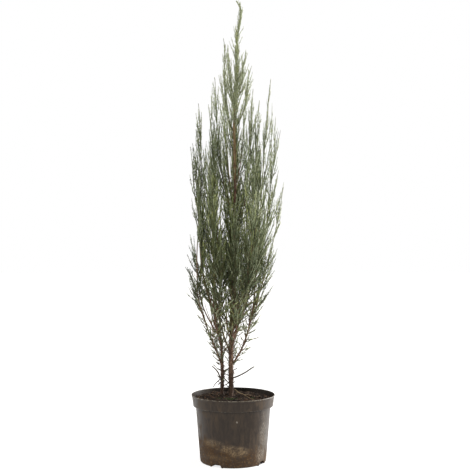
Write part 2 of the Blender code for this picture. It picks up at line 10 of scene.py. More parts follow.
import bmesh
import bpy
import numpy as np
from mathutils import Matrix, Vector

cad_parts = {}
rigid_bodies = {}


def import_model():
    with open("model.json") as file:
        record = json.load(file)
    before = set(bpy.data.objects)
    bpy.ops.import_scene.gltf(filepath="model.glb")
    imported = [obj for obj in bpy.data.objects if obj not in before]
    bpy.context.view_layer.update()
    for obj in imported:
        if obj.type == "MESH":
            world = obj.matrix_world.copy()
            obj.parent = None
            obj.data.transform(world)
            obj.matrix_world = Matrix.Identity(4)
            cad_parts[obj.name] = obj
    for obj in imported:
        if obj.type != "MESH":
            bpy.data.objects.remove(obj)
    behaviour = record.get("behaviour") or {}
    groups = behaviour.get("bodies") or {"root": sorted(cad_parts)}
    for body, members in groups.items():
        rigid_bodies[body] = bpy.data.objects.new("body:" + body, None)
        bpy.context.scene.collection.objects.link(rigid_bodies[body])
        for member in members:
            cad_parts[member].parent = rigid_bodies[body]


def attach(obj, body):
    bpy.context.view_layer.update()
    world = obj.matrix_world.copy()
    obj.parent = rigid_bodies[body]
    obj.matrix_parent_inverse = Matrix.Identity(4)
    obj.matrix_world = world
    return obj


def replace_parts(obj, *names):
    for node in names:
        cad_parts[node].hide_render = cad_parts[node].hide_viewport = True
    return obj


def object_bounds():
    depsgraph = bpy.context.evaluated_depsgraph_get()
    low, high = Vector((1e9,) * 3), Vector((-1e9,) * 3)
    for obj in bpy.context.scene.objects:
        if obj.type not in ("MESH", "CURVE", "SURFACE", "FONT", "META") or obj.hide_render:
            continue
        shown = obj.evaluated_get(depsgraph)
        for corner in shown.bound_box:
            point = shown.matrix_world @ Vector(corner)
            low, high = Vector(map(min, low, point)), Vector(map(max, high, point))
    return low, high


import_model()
CAD_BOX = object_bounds()

# Camera: level, straight on, with the photograph's field of view
PHOTO_WIDTH = 470
FOCAL_PIXELS = 923.5
SENSOR_WIDTH = 36.0
CAMERA_PLACE = (0.005, -2.5, 0.6104)

# Pot
POT_HEIGHT = 0.180
POT_RIM_RADIUS = 0.1125
POT_BAND_FOOT_RADIUS = 0.1080
POT_BODY_TOP_RADIUS = 0.1012
POT_FOOT_RADIUS = 0.0888
POT_BAND_FOOT = 0.150
POT_WALL = 0.0018
POT_FLOOR = 0.0026
POT_FOOT_BEVEL = 0.004
POT_LIP_HEIGHT = 0.0032
POT_LIP_PROUD = 0.0013
POT_EDGE_RADIUS = 0.0008
POT_SEGMENTS = 192
NOTCH_COUNT = 4
NOTCH_FIRST_AZIMUTH = -120.0
NOTCH_WIDTH = 0.026
NOTCH_FLARE = 0.0045
NOTCH_FLARE_STEPS = 5
NOTCH_HEIGHT = 0.010
NOTCH_INNER_RADIUS = 0.066
PLUG_RADIUS = NOTCH_INNER_RADIUS - 3 * POT_WALL
NOTCH_ARC_STEPS = 14
NOTCH_SHOULDER = 0.45
DRAIN_WIDTH = 0.010
DRAIN_FOOT = 0.0030
DRAIN_TOP = 0.0075
# The angle above which an edge stays sharp, and how far inward a face of the band's inside is turned at least
POT_SHARP_ANGLE = 32
INSIDE_FACING = -0.5

# What is on the pot, and the colour of each outside and inside
POT_MARKS = ("Plastic", "Dust", "Dirt", "Stain", "Chalk")
POT_COLOURS = (
    (0.0142, 0.0075, 0.0031), (0.062, 0.042, 0.025), (0.055, 0.0268, 0.0088), (0.210, 0.150, 0.086),
    (0.215, 0.190, 0.155),
)
POT_INSIDE_COLOURS = (
    (0.0165, 0.0138, 0.0120), (0.042, 0.034, 0.027), (0.020, 0.011, 0.005), (0.060, 0.045, 0.030),
    (0.110, 0.095, 0.075),
)
# The painted shade in the crease under the band, the wear and painted highlight on the lip, the painted
# highlight along the band's foot, and the dirt's edge, its sway and its fall
PAINTED_BAND_SHADE_COLOUR = (0.004, 0.003, 0.002)
PAINTED_BAND_SHADE_REACH = 0.0045
PAINTED_BAND_SHADE_SHARE = 0.45
LIP_WEAR_AND_HIGHLIGHT_FROM = 0.1765
BAND_HIGHLIGHT = 0.0016
DIRT_EDGE = (0.038, 0.070)
DIRT_EDGE_SWAY = 0.085
DIRT_EDGE_FALL = 0.20
# How the grit and the blotches break up the dirt, the stains and the chalky marks with their painted sheen:
# from which noise to which, and how much shows there
DIRT_BREAKS = ((0.34, 0.60, 0.25, 1.0), (0.30, 0.62, 0.35, 1.0))
STAIN_BREAKS = ((0.36, 0.62, 0.20, 1.0), (0.33, 0.58, 0.20, 1.0))
CHALK_AND_SHEEN_BREAKS = ((0.38, 0.60, 0.12, 1.0), (0.36, 0.58, 0.15, 1.0))
# Stains: the middle, reach and strength of each, the chalky marks likewise, of which the second, up the right
# side, is also a painted sheen, and between which shares of its reach each of them fades
STAINS = (
    ((0.013, -0.088, 0.043), (0.034, 0.040, 0.018), 0.85),
    ((-0.014, -0.086, 0.051), (0.034, 0.040, 0.014), 0.65),
    ((-0.050, -0.068, 0.063), (0.042, 0.040, 0.013), 0.50),
    ((-0.040, -0.080, 0.026), (0.050, 0.040, 0.010), 0.30),
)
CHALK_AND_SHEEN_MARKS = (
    ((0.072, -0.052, 0.030), (0.018, 0.036, 0.030), 0.60),
    ((0.082, -0.045, 0.095), (0.018, 0.050, 0.075), 0.42),
    ((0.0100, -0.098, 0.1225), (0.0025, 0.020, 0.0032), 4.0),
)
PATCH_FADE = (0.35, 1.1)

# Potting mix: a plateau round the stems that falls to the wall
SOIL_PLATEAU_HEIGHT = 0.1740
SOIL_EDGE_HEIGHT = 0.1660
SOIL_PLATEAU_RADIUS = 0.055
SOIL_WALL_GAP = 0.0003
SOIL_RINGS = 72
SOIL_SEGMENTS = 192
SOIL_SEED = 3
SOIL_MOUND = 0.0012
SOIL_CRUMB = 0.0009
SOIL_COLLAR = 0.0022
SOIL_COLLAR_REACH = 0.016
# Mounds and crumbs in its surface: how many waves, and the lengths of the finest and the coarsest, then how
# long the waves are that cross them and how much weaker the finer ones are
MOUND_WAVES = (5, 0.016, 0.060)
CRUMB_WAVES = (9, 0.0035, 0.013)
CROSSING_PITCH = 0.8
FINE_WAVES_FADE = 0.55
# The mix is calmer near the wall: towards which share of the plateau's fall, how fast, and how calm at most
SOIL_CALM_RIM = 1.02
SOIL_CALM_RATE = 3
SOIL_CALMEST = 0.25

# Crumbs on the mix: peat, bark and pale bits, with their shares, sizes, stretch and flatness
CRUMB_COUNT = 620
CRUMB_SHARES = (0.68, 0.24, 0.08)
CRUMB_SIZES = ((0.0008, 0.0026), (0.0010, 0.0030), (0.0006, 0.0016))
CRUMB_STRETCH = (1.4, 2.6, 1.6)
CRUMB_FLATNESS = (0.8, 0.45, 0.7)
CRUMB_LIFT = 0.1
CRUMB_EDGE_GAP = 0.003
LUMP_ROUGHNESS = 0.25
LUMP_TILT = 0.5

# Litter on the mix: two long straws, each by its route and how high it is over the mix, and short fallen bits
STRAWS = (
    ((-0.001, 0.075, 0), (0.014, 0.048, 0), (0.027, 0.025, 0), (0.042, 0.000, 0), (0.055, -0.027, 0)),
    (
        (0.0035, -0.003, 0.017), (0.014, -0.010, 0.011), (0.028, -0.020, 0.006), (0.042, -0.032, 0.001),
        (0.056, -0.044, 0),
    ),
)
STRAW_RADIUS = 0.0010
STRAW_POINTS = 12
STRAW_SIDES = 5
STRAW_TAPER = (1.1, 0.6)
LITTER_COUNT = 40
LITTER_RADIUS = 0.00045
LITTER_LIFT = 0.0006
LITTER_BENDS = 3
LITTER_STEPS = (0.002, 0.006)
LITTER_TURN = 0.35
LITTER_SPREAD = (0.05, 0.85)
LITTER_EDGE_GAP = 0.002

# Moss: the middle and reach of each patch, and how many blades it has
MOSS_PATCHES = ((-0.006, -0.048, 0.013, 1100), (-0.040, -0.040, 0.006, 200), (0.050, -0.030, 0.006, 200))
MOSS_HEIGHT = (0.0018, 0.0042)
MOSS_RADIUS = 0.00035
MOSS_LEAN = 0.45
MOSS_BEND = 0.35
MOSS_SINK = 0.0005
MOSS_STRETCH = 1.5
MOSS_SPREAD = (0.6, 1.1)
MOSS_PROFILE = ((0.0, 1.0), (0.5, 0.9))

# Stems: the points that each axis passes, and its radius at some heights
STEM_FOOT = 0.1743
STEMS = {
    "main_stem": (
        (
            (-0.005, 0.004, STEM_FOOT), (-0.006, 0.004, 0.260), (-0.004, 0.005, 0.360), (0.000, 0.004, 0.520),
            (0.004, 0.000, 0.700), (0.005, -0.002, 0.820), (0.004, -0.002, 0.930), (0.010, 0.000, 1.010),
            (0.0105, 0.000, 1.090),
        ),
        ((STEM_FOOT, 0.0062), (0.600, 0.0052), (0.900, 0.0042), (1.090, 0.0016)),
    ),
    "second_stem": (
        (
            (-0.030, 0.006, STEM_FOOT), (-0.0295, 0.008, 0.245), (-0.034, 0.009, 0.330),
            (-0.050, 0.011, 0.392), (-0.075, 0.013, 0.471),
        ),
        ((STEM_FOOT, 0.0047), (0.471, 0.0026)),
    ),
}
ROOT_FLARE = 0.55
ROOT_FLARE_HEIGHT = 0.012

# Boughs: the stem that each leaves and how high, the angle from upright at which it leaves,
# and its end's bearing (0 right, 90 back, 180 left, 270 front), reach from the Z axis and height
BOUGHS = {
    "bough_left_low": ("second_stem", 0.252, 20, 194, 0.100, 0.462),
    "bough_left_mid": ("second_stem", 0.328, 38, 157, 0.101, 0.452),
    "bough_left_inner": ("second_stem", 0.345, 12, 200, 0.035, 0.500),
    "bough_left_front": ("second_stem", 0.300, 35, 227, 0.076, 0.430),
    "bough_left_back": ("main_stem", 0.286, 38, 127, 0.076, 0.420),
    "bough_right_low": ("main_stem", 0.257, 42, 350, 0.057, 0.434),
    "bough_right_mid": ("main_stem", 0.345, 34, 17, 0.056, 0.520),
    "bough_right_front": ("main_stem", 0.385, 34, 309, 0.072, 0.510),
    "bough_right_back": ("main_stem", 0.325, 34, 55, 0.078, 0.460),
    "bough_front": ("main_stem", 0.295, 24, 286, 0.035, 0.372),
    "bough_back": ("main_stem", 0.415, 28, 94, 0.062, 0.550),
}
BOUGH_ROOT_SHARE = 0.55
BOUGH_ROOT_MOST = 0.0026
BOUGH_TIP_SHARE = 0.72
BOUGH_END_LEAN = 9
BOUGH_RINGS = 60

# Bark: on the stems and on the boughs its sides, its relief as a share of the radius and its first seed, and
# how far apart its rings are and how fast its relief changes from one to the next
STEM_BARK = (30, 0.30, 0)
BOUGH_BARK = (16, 0.18, 20)
BARK_RING_SPACING = 0.0025
BARK_PITCH = 0.5
# Its strips: how many of them stand round a limb in each wave, and how they slant, begin and sway along it;
# and the splits across them
STRIP_WAVES = (3, 5, 8, 11)
STRIP_SLANTS = (-0.5, 0.5)
STRIP_PHASES = (0, 6)
STRIP_SWAYS = (1.5, 3.5)
STRIP_SWAY_PITCH = 0.31
SPLIT_PITCH = 0.9
SPLIT_SWAY = 2.5
SPLIT_RELIEF = 0.18
# The heights from which it is young and leafy
YOUNG_BARK_HEIGHT = 0.76
LEAFY_BARK_HEIGHT = 0.952

# Plumes: the limb that each grows from, the height where it leaves it (None: from the limb's tip),
# and its tip's bearing, reach and height
PLUMES = {
    "plume_leader": ("main_stem", None, 0, 0.016, 1.246),
    "plume_top_left": ("main_stem", 0.880, 167, 0.027, 1.143),
    "plume_top_front": ("main_stem", 0.950, 239, 0.023, 1.098),
    "plume_top_right": ("main_stem", 0.895, 5, 0.050, 1.068),
    "plume_top_inner": ("main_stem", 0.975, 341, 0.036, 1.105),
    "plume_top_back": ("main_stem", 0.925, 74, 0.037, 1.095),
    "plume_mid_left": ("main_stem", 0.660, 162, 0.053, 1.040),
    "plume_mid_right": ("main_stem", 0.620, 2, 0.054, 1.006),
    "plume_mid_back": ("main_stem", 0.580, 90, 0.050, 1.020),
    "plume_mid_front_left": ("main_stem", 0.700, 239, 0.051, 0.985),
    "plume_mid_front_right": ("main_stem", 0.740, 309, 0.054, 0.960),
    "plume_left_tall": ("second_stem", None, 174, 0.095, 0.968),
    "plume_left_inner": ("bough_left_inner", None, 201, 0.071, 0.960),
    "plume_left_outer": ("bough_left_low", None, 197, 0.119, 0.846),
    "plume_left_side": ("bough_left_low", 0.395, 196, 0.133, 0.525),
    "plume_left_thin": ("bough_left_mid", None, 154, 0.119, 0.725),
    "plume_left_back": ("bough_left_back", None, 132, 0.098, 0.870),
    "plume_left_front": ("bough_left_front", None, 232, 0.101, 0.790),
    "plume_left_foot": ("bough_left_low", 0.300, 211, 0.088, 0.430),
    "plume_left_low": ("bough_left_front", 0.350, 219, 0.108, 0.500),
    "plume_front_centre": ("bough_front", None, 273, 0.066, 0.690),
    "plume_front_left": ("bough_left_front", 0.385, 250, 0.101, 0.610),
    "plume_front_foot": ("main_stem", 0.318, 236, 0.045, 0.480),
    "plume_front_low": ("main_stem", 0.350, 305, 0.062, 0.520),
    "plume_right_tall": ("bough_right_low", None, 358, 0.102, 1.032),
    "plume_right_far": ("bough_right_low", 0.405, 349, 0.137, 0.738),
    "plume_right_side": ("bough_right_low", 0.395, 336, 0.118, 0.570),
    "plume_right_foot": ("bough_right_low", 0.330, 12, 0.072, 0.465),
    "plume_right_mid": ("bough_right_mid", None, 17, 0.075, 0.978),
    "plume_right_outer": ("bough_right_mid", 0.475, 15, 0.128, 0.893),
    "plume_right_front": ("bough_right_front", None, 311, 0.098, 0.850),
    "plume_right_low": ("bough_right_front", 0.465, 318, 0.128, 0.655),
    "plume_right_back": ("bough_right_back", None, 48, 0.105, 0.905),
    "plume_back": ("bough_back", None, 96, 0.098, 0.880),
    "plume_back_left": ("bough_left_back", 0.375, 113, 0.118, 0.650),
    "plume_back_right": ("bough_right_back", 0.410, 70, 0.122, 0.680),
    "plume_back_foot": ("main_stem", 0.330, 88, 0.058, 0.500),
    "twig_low_left": ("second_stem", 0.218, 188, 0.057, 0.256),
    "twig_low_right": ("main_stem", 0.222, 350, 0.057, 0.255),
}
PLUME_ROOT_MOST = 0.0018
PLUME_ROOT_SHARE = 0.8
PLUME_TIP_RADIUS = 0.0006
PLUME_LEAVES_OUTWARD = 20
PLUME_ENDS_UPRIGHT = 12
PLUME_LEAST_LEAN = 2
BARE_TWIGS = ("twig_low_left", "twig_low_right")
BARE_TWIG_RADII = (0.0023, 0.0016)
LEADER_CROOK = (
    (0.0110, 0.000, 1.136), (0.0158, 0.000, 1.179), (0.0196, 0.000, 1.203), (0.0177, 0.000, 1.226),
    (0.0080, 0.000, 1.2445),
)
SPINE_POINTS = 20
SPINE_LEAF_FROM = 0.12
SPINE_FINE_POINTS = 60
SPINE_SWAY = 0.0026
SPINE_DRAWN_IN = 0.13
STALK_SIDES = 7

# Whips: how far apart on a plume's spine, what share of them grows at each height and in the thinner plumes,
# how long they are at each height, and how far they lean off the spine
WHIP_SPACING = 0.0084
WHIP_SHARES_KEPT = (
    (0.39, 0.80), (0.50, 1.0), (0.66, 1.0), (0.74, 0.72), (0.84, 0.49), (1.00, 0.48), (1.20, 0.95),
)
THIN_PLUMES = {
    "plume_right_far": 0.45, "plume_right_tall": 0.62, "plume_right_outer": 0.50, "plume_right_low": 0.70,
    "plume_right_side": 0.75, "plume_left_outer": 0.50, "plume_left_thin": 0.70, "plume_left_back": 0.70,
    "plume_mid_back": 0.75, "plume_back_left": 0.80,
}
WHIP_LEAST_COUNT = 5
# Above the spire's foot and within that reach of the trunk no whip is left out
SPIRE_FOOT = 0.925
SPIRE_REACH = 0.030
WHIP_SHARES = (0.03, 0.86)
WHIP_LENGTHS = (
    (0.22, 0.050), (0.34, 0.095), (0.46, 0.150), (0.72, 0.155), (0.86, 0.120), (1.00, 0.098), (1.20, 0.050),
)
WHIP_MOST_OF_SPINE = 0.45
WHIP_LEAST_LENGTH = 0.024
WHIP_REST_SHARES = (0.40, 0.85)
WHIP_LENGTH_DRAW = (0.50, 1.10)
WHIP_LEANS = ((0.22, 44.0), (0.45, 36.0), (0.62, 25.0), (0.84, 13.5), (1.20, 13.0))
WHIP_LEAN_DRAW = (0.45, 1.20)
WHIP_END_LEANS = (0.25, 0.95)
WHIP_TURN_DRAW = 0.5
WHIP_UPRIGHT = ((0.40, 0.10), (0.50, 0.20), (0.62, 0.45), (0.90, 0.45), (0.97, 0.18))
# How often a whip that doesn't fit is tried, how much shorter each time, and at which shares of its length
WHIP_TRIES = 7
WHIP_SHORTENED = 0.86
WHIP_TESTS = (0.3, 0.55, 0.8, 1.0)
WHIP_HEADING_STEP = 0.03
WHIP_RADIUS = 0.00085
THICK_WHIP = 0.08
WHIP_GIRTHS = (0.65, 1.15)
WHIP_PROFILE = ((0.0, 1.0), (0.25, 0.9), (0.5, 0.8), (0.75, 0.7), (0.95, 0.55))
GOLDEN_TURN = math.radians(137.5)
# Stalks are green above one height and spurs above another, and spines beyond that share of their length or
# above that height
GREEN_STALK_HEIGHT = 0.40
GREEN_SPUR_HEIGHT = 0.46
GREEN_STALK_SPREAD = 0.05
GREEN_SPINE_SHARE = 0.30
GREEN_SPINE_HEIGHT = 0.87

# What stands round a cord: where in its step each may stand, and how its lean may differ
SIDE_STEPS = (0.2, 0.8)
SIDE_LEAN_DRAW = (0.6, 1.4)

# Side whips, the finer whips on each whip: how far apart, from which share of it to which, how they lean off
# its foot and its tip, what is left of that lean at their own tips, and the least number on each; then
# how much of the rest of the whip's length they take
SIDE_WHIPS = (0.0120, (0.10, 0.80), (24.0, 15.0), 0.30, 0)
SIDE_WHIP_REST = (0.25, 0.60)
SIDE_WHIP_LENGTHS = (0.008, 0.042)
SIDE_WHIP_PROFILE = ((0.0, 1.0), (0.5, 0.8))
SIDE_WHIP_RADIUS = 0.0006

# Spurs: the whips that leave the stems and boughs themselves, short near the pot, and set twice as close
# between some heights
SPUR_SPACING = 0.0044
SPUR_LOW = 0.205
SPUR_SHARES_KEPT = (
    (0.26, 1.0), (0.30, 0.62), (0.36, 0.60), (0.40, 0.78), (0.45, 0.85), (0.50, 1.0), (0.72, 1.0),
    (0.82, 0.80), (0.92, 0.90), (0.95, 1.0),
)
CLOSE_SET = ((0.45, 0.70), (0.93, 1.25))
SPUR_LENGTHS = (
    (0.20, 0.014), (0.26, 0.026), (0.32, 0.040), (0.38, 0.058), (0.46, 0.110), (0.58, 0.130), (0.66, 0.110),
    (0.84, 0.062), (0.94, 0.046), (1.10, 0.034), (1.17, 0.024), (1.22, 0.008),
)
SPUR_LENGTH_DRAW = (0.40, 1.15)
SPUR_LEANS = ((0.22, 54.0), (0.36, 46.0), (0.48, 30.0), (0.75, 20.0), (0.97, 15.0), (1.10, 15.0))
SPUR_LEAN_DRAW = (0.6, 1.4)
SPUR_END_LEANS = (0.35, 0.95)
SPUR_TURN_DRAW = 0.5
SPUR_TESTS = (0.4, 0.7, 1.0)
SPUR_HEADING_STEP = 0.02
# Heights between which spurs cover the front, and how many of them turn that way
FRONT_COVER = (0.37, 0.68)
FRONT_SHARE = 0.6

# Shoots placed one by one near the foot, along the trunk, round the leader and at the tops of some plumes:
# the limb or the plume's spine that bears them and whether they bear leaves, then for each of them the height
# where it leaves, its tip and how it bends upward
PLACED_SHOOTS = (
    ("leader", True, (
        (1.208, (0.0263, -0.004, 1.2272), 0.20), (1.130, (0.0012, -0.006, 1.1750), 0.12),
        (1.146, (0.0290, 0.004, 1.1762), 0.25), (1.119, (0.0255, -0.008, 1.1460), 0.20),
        (1.100, (-0.0058, 0.004, 1.1460), 0.15),
    )),
    ("main_stem", True, (
        (1.084, (-0.0105, -0.006, 1.1326), 0.18), (1.065, (0.0282, -0.010, 1.1042), 0.20),
        (1.014, (0.0390, -0.012, 1.1004), 0.10), (1.000, (0.0300, -0.016, 1.0500), 0.15),
        (0.985, (-0.0010, -0.018, 1.0420), 0.15), (0.976, (0.0399, -0.008, 1.0243), 0.15),
        (0.960, (-0.0180, -0.014, 1.0250), 0.15), (0.945, (0.0120, -0.020, 1.0100), 0.12),
        (0.930, (-0.0080, -0.020, 0.9900), 0.12), (0.915, (0.0190, -0.018, 0.9780), 0.12),
        (0.900, (0.0010, -0.018, 0.9600), 0.08), (0.958, (0.0225, -0.012, 1.0380), 0.10),
        (0.940, (0.0310, -0.006, 1.0120), 0.10), (0.926, (0.0230, -0.014, 0.9900), 0.10),
        (0.962, (-0.0110, -0.012, 1.0500), 0.10), (0.912, (-0.0150, -0.014, 0.9800), 0.10),
        (0.990, (0.0180, -0.014, 1.0650), 0.10), (0.780, (0.0120, -0.012, 0.8550), 0.06),
        (0.815, (0.0150, -0.012, 0.8950), 0.06), (0.840, (0.0115, -0.014, 0.9250), 0.06),
        (0.862, (0.0165, -0.010, 0.9500), 0.06), (0.880, (0.0110, -0.012, 0.9620), 0.06),
        (0.800, (0.0235, -0.010, 0.8950), 0.08), (0.835, (0.0210, -0.012, 0.9380), 0.08),
    )),
    ("plume_right_outer", True, (
        (0.735, (0.1062, 0.020, 0.9690), 0.10), (0.800, (0.1160, 0.026, 0.9330), 0.08),
        (0.790, (0.1300, 0.030, 0.9000), 0.08),
    )),
    ("plume_right_tall", True, ((0.860, (0.0960, 0.004, 0.9600), 0.05),)),
    ("plume_left_inner", True, ((0.900, (-0.0559, -0.020, 1.0083), 0.05),)),
    ("plume_left_tall", True, ((0.800, (-0.1010, 0.000, 0.8946), 0.08),)),
    ("plume_left_inner", True, (
        (0.790, (-0.0600, -0.042, 0.9100), 0.10), (0.765, (-0.0500, -0.046, 0.8880), 0.10),
        (0.740, (-0.0650, -0.046, 0.8620), 0.10), (0.720, (-0.0440, -0.046, 0.8500), 0.10),
    )),
    ("bough_right_low", True, (
        (0.392, (0.0700, -0.020, 0.4155), 0.10), (0.376, (0.0700, -0.014, 0.4020), 0.10),
        (0.361, (0.0690, -0.022, 0.3770), 0.15), (0.345, (0.0600, -0.012, 0.3560), 0.15),
        (0.327, (0.0727, -0.010, 0.3345), 0.10), (0.312, (0.0440, -0.018, 0.3420), 0.15),
        (0.300, (0.0500, -0.008, 0.3085), 0.10), (0.350, (0.0260, -0.010, 0.3760), 0.15),
        (0.320, (0.0180, -0.012, 0.3400), 0.15),
    )),
    ("second_stem", True, (
        (0.262, (-0.0500, -0.006, 0.3250), 0.35), (0.290, (-0.0530, -0.010, 0.3520), 0.35),
        (0.300, (-0.0240, -0.014, 0.3560), 0.25), (0.322, (-0.0330, -0.022, 0.3860), 0.25),
        (0.240, (-0.0560, 0.000, 0.2620), 0.20), (0.231, (-0.0180, -0.006, 0.2440), 0.10),
    )),
    ("main_stem", False, (
        (0.228, (-0.0210, -0.004, 0.2340), -0.10), (0.242, (0.0120, -0.008, 0.2520), 0.20),
    )),
    ("second_stem", False, (
        (0.221, (-0.0556, -0.002, 0.1975), -0.45), (0.212, (-0.0420, -0.010, 0.2050), -0.20),
    )),
    ("main_stem", True, ((0.262, (-0.0240, -0.006, 0.2860), 0.20),)),
    ("main_stem", False, ((0.252, (-0.0280, -0.009, 0.2360), -0.15),)),
    ("second_stem", False, (
        (0.238, (-0.0120, -0.009, 0.2520), 0.15), (0.226, (-0.0130, -0.008, 0.2120), -0.15),
    )),
    ("main_stem", False, (
        (0.212, (-0.0230, -0.009, 0.2040), -0.20), (0.205, (-0.0210, -0.007, 0.2200), 0.20),
        (0.296, (-0.0280, -0.010, 0.3340), 0.25), (0.284, (-0.0240, -0.010, 0.3060), 0.20),
        (0.290, (-0.0285, -0.004, 0.3125), 0.15), (0.287, (-0.0300, -0.007, 0.3080), 0.15),
    )),
    ("second_stem", True, ((0.312, (-0.0130, -0.012, 0.3400), 0.20),)),
    ("second_stem", False, ((0.286, (-0.0160, -0.010, 0.3080), 0.20),)),
    ("bough_left_low", True, (
        (0.262, (-0.0480, -0.010, 0.2700), 0.20), (0.268, (-0.0560, -0.008, 0.2860), 0.20),
        (0.276, (-0.0370, -0.012, 0.3050), 0.20), (0.284, (-0.0620, -0.014, 0.3060), 0.20),
        (0.292, (-0.0430, -0.014, 0.3230), 0.20), (0.300, (-0.0700, -0.018, 0.3260), 0.20),
        (0.308, (-0.0500, -0.020, 0.3400), 0.20), (0.340, (-0.0840, -0.030, 0.3640), 0.20),
        (0.365, (-0.0960, -0.028, 0.3960), 0.20), (0.318, (-0.0680, -0.024, 0.3460), 0.25),
    )),
    ("bough_front", True, (
        (0.338, (0.0300, -0.044, 0.4200), 0.15), (0.345, (0.0160, -0.050, 0.4300), 0.15),
        (0.352, (0.0020, -0.052, 0.4400), 0.15), (0.358, (0.0360, -0.050, 0.4420), 0.15),
        (0.364, (0.0240, -0.056, 0.4620), 0.15), (0.368, (0.0100, -0.060, 0.4720), 0.15),
        (0.371, (0.0400, -0.054, 0.4700), 0.15), (0.371, (-0.0080, -0.058, 0.4700), 0.15),
    )),
    ("main_stem", True, (
        (0.300, (0.0160, -0.018, 0.3600), 0.20), (0.318, (0.0240, -0.020, 0.3800), 0.20),
        (0.330, (-0.0200, -0.020, 0.3980), 0.25), (0.575, (-0.0330, -0.030, 0.6850), 0.08),
        (0.560, (-0.0260, -0.038, 0.6550), 0.08), (0.605, (-0.0290, -0.024, 0.7150), 0.08),
    )),
    ("bough_left_low", True, ((0.418, (-0.1270, -0.016, 0.4560), 0.00),)),
    ("main_stem", True, (
        (0.352, (0.0060, -0.034, 0.4150), 0.20), (0.366, (-0.0060, -0.036, 0.4330), 0.20),
        (0.380, (0.0170, -0.038, 0.4480), 0.20),
    )),
    ("second_stem", True, (
        (0.350, (-0.0320, -0.026, 0.4200), 0.20), (0.366, (-0.0480, -0.028, 0.4360), 0.20),
        (0.382, (-0.0300, -0.030, 0.4540), 0.20),
    )),
)
BARE_SHOOT_RADIUS = 0.0017
BARE_SHOOT_SIDES = 5

# Dead stubs and peeling flakes of bark: the limb, from which height to which, and how many of each
STUBBLE = (
    ("main_stem", 0.186, 0.330, 60, 110),
    ("second_stem", 0.186, 0.330, 46, 80),
    ("bough_right_low", 0.270, 0.400, 16, 24),
    ("bough_left_low", 0.270, 0.400, 12, 16),
    ("main_stem", 0.690, 0.930, 40, 70),
)
STUB_LENGTHS = (0.004, 0.013)
STUB_LEANS = (45.0, 85.0)
STUB_RADIUS = 0.0008
FLAKE_LENGTHS = (0.006, 0.018)
FLAKE_LEANS = (4.0, 16.0)
FLAKE_RADIUS = 0.0006
STUB_BEND = -0.2
FLAKE_BEND = 0.25
STUBBLE_GIRTHS = (0.7, 1.3)
STUBBLE_STEP = 0.004
STUB_SIDES = 4

# Twiglets that lie close along each whip: how they stand on it, as for side whips, and how long they are at
# each share of it
TWIGLETS = (0.0034, (0.0, 1.0), (26.0, 15.0), 0.35, 2)
TWIGLET_LENGTHS = ((0.0, 0.0060), (0.2, 0.0080), (0.55, 0.0066), (0.85, 0.0048), (1.0, 0.0034))
TWIGLET_RADIUS = 0.00082
TWIGLET_PROFILE = ((0.0, 0.9), (0.45, 1.1))
TWIGLET_LENGTH_DRAW = (0.65, 1.25)
TWIGLET_SHORTER = ((1.12, 1.0), (1.20, 0.80))
FULL_TWIGLET = 0.008
TWIGLET_GIRTHS = (0.85, 1.15)
# Shorter whips bear shorter twiglets, but not those low down, whose stalks are thicker
FULL_WHIP = 0.06
SMALL_WHIP_SHARE = 0.72
LOW_WHIP_HEIGHT = 0.415
LOW_WHIP_SHARE = 0.98
LOW_STALK_RADIUS = 0.0010
# The steps in which a spine bears its own twiglets
SPINE_STEP = 0.012
SPINE_LEAST_STEPS = 3

# Greens: the leaf, its bloom and how much bloom there is, a warm and a cool row, each from dark to pale in
# steps that carry painted light and shade as well as the leaves' own tone
GREENS = {
    "olive shade": ((0.046, 0.052, 0.014), (0.095, 0.108, 0.044), 0.25),
    "olive": ((0.113, 0.137, 0.044), (0.192, 0.226, 0.100), 0.30),
    "bright olive": ((0.221, 0.259, 0.094), (0.332, 0.380, 0.190), 0.35),
    "yellow green": ((0.370, 0.405, 0.160), (0.500, 0.540, 0.290), 0.35),
    "deep blue green": ((0.040, 0.050, 0.024), (0.098, 0.118, 0.070), 0.30),
    "blue green": ((0.100, 0.127, 0.066), (0.208, 0.252, 0.158), 0.35),
    "grey green": ((0.197, 0.236, 0.134), (0.340, 0.392, 0.270), 0.40),
    "pale grey green": ((0.340, 0.375, 0.230), (0.510, 0.550, 0.400), 0.40),
}
SHADES = 4
CROWN_RADIUS = 0.12
# How pale a whip is, as a share of its row, partly the leaves' own tone and partly painted light and shade:
# by height and outward (painted shade at the dense middle heights and inside), to the right and in front
# (painted light), and its spread
PALE_AND_PAINTED_LIGHT_BY_HEIGHT = (
    (0.25, 0.42), (0.36, 0.35), (0.46, 0.03), (0.56, 0.05), (0.70, 0.42), (0.82, 0.40), (0.90, 0.40),
    (0.97, 1.02), (1.05, 1.48),
)
PALE_AND_PAINTED_LIGHT_OUTWARD = 0.24
PAINTED_LIGHT_RIGHTWARD = 0.13
PAINTED_LIGHT_IN_FRONT = ((0.33, 0.0), (0.37, 0.36), (0.43, 0.36), (0.49, 0.0))
PAINTED_LIGHT_FRONT_REACH = 0.045
PALE_SPREAD = 0.30
# Twiglets beyond one share of a whip may be a shade paler, and those before another a shade darker: how many
PALE_TIP_SHARE = 0.65
PALE_TIPS = 0.6
DARK_FOOT_SHARE = 0.35
DARK_FEET = 0.45
# How likely a whip is in the warm row: by height and inward, and the spread from plume to plume
WARM_HEIGHTS = ((0.32, 0.24), (0.45, 0.68), (0.60, 0.64), (0.75, 0.54), (0.90, 0.38), (0.98, 0.12))
WARM_INWARD = 0.55
WARM_SPREAD = 0.22

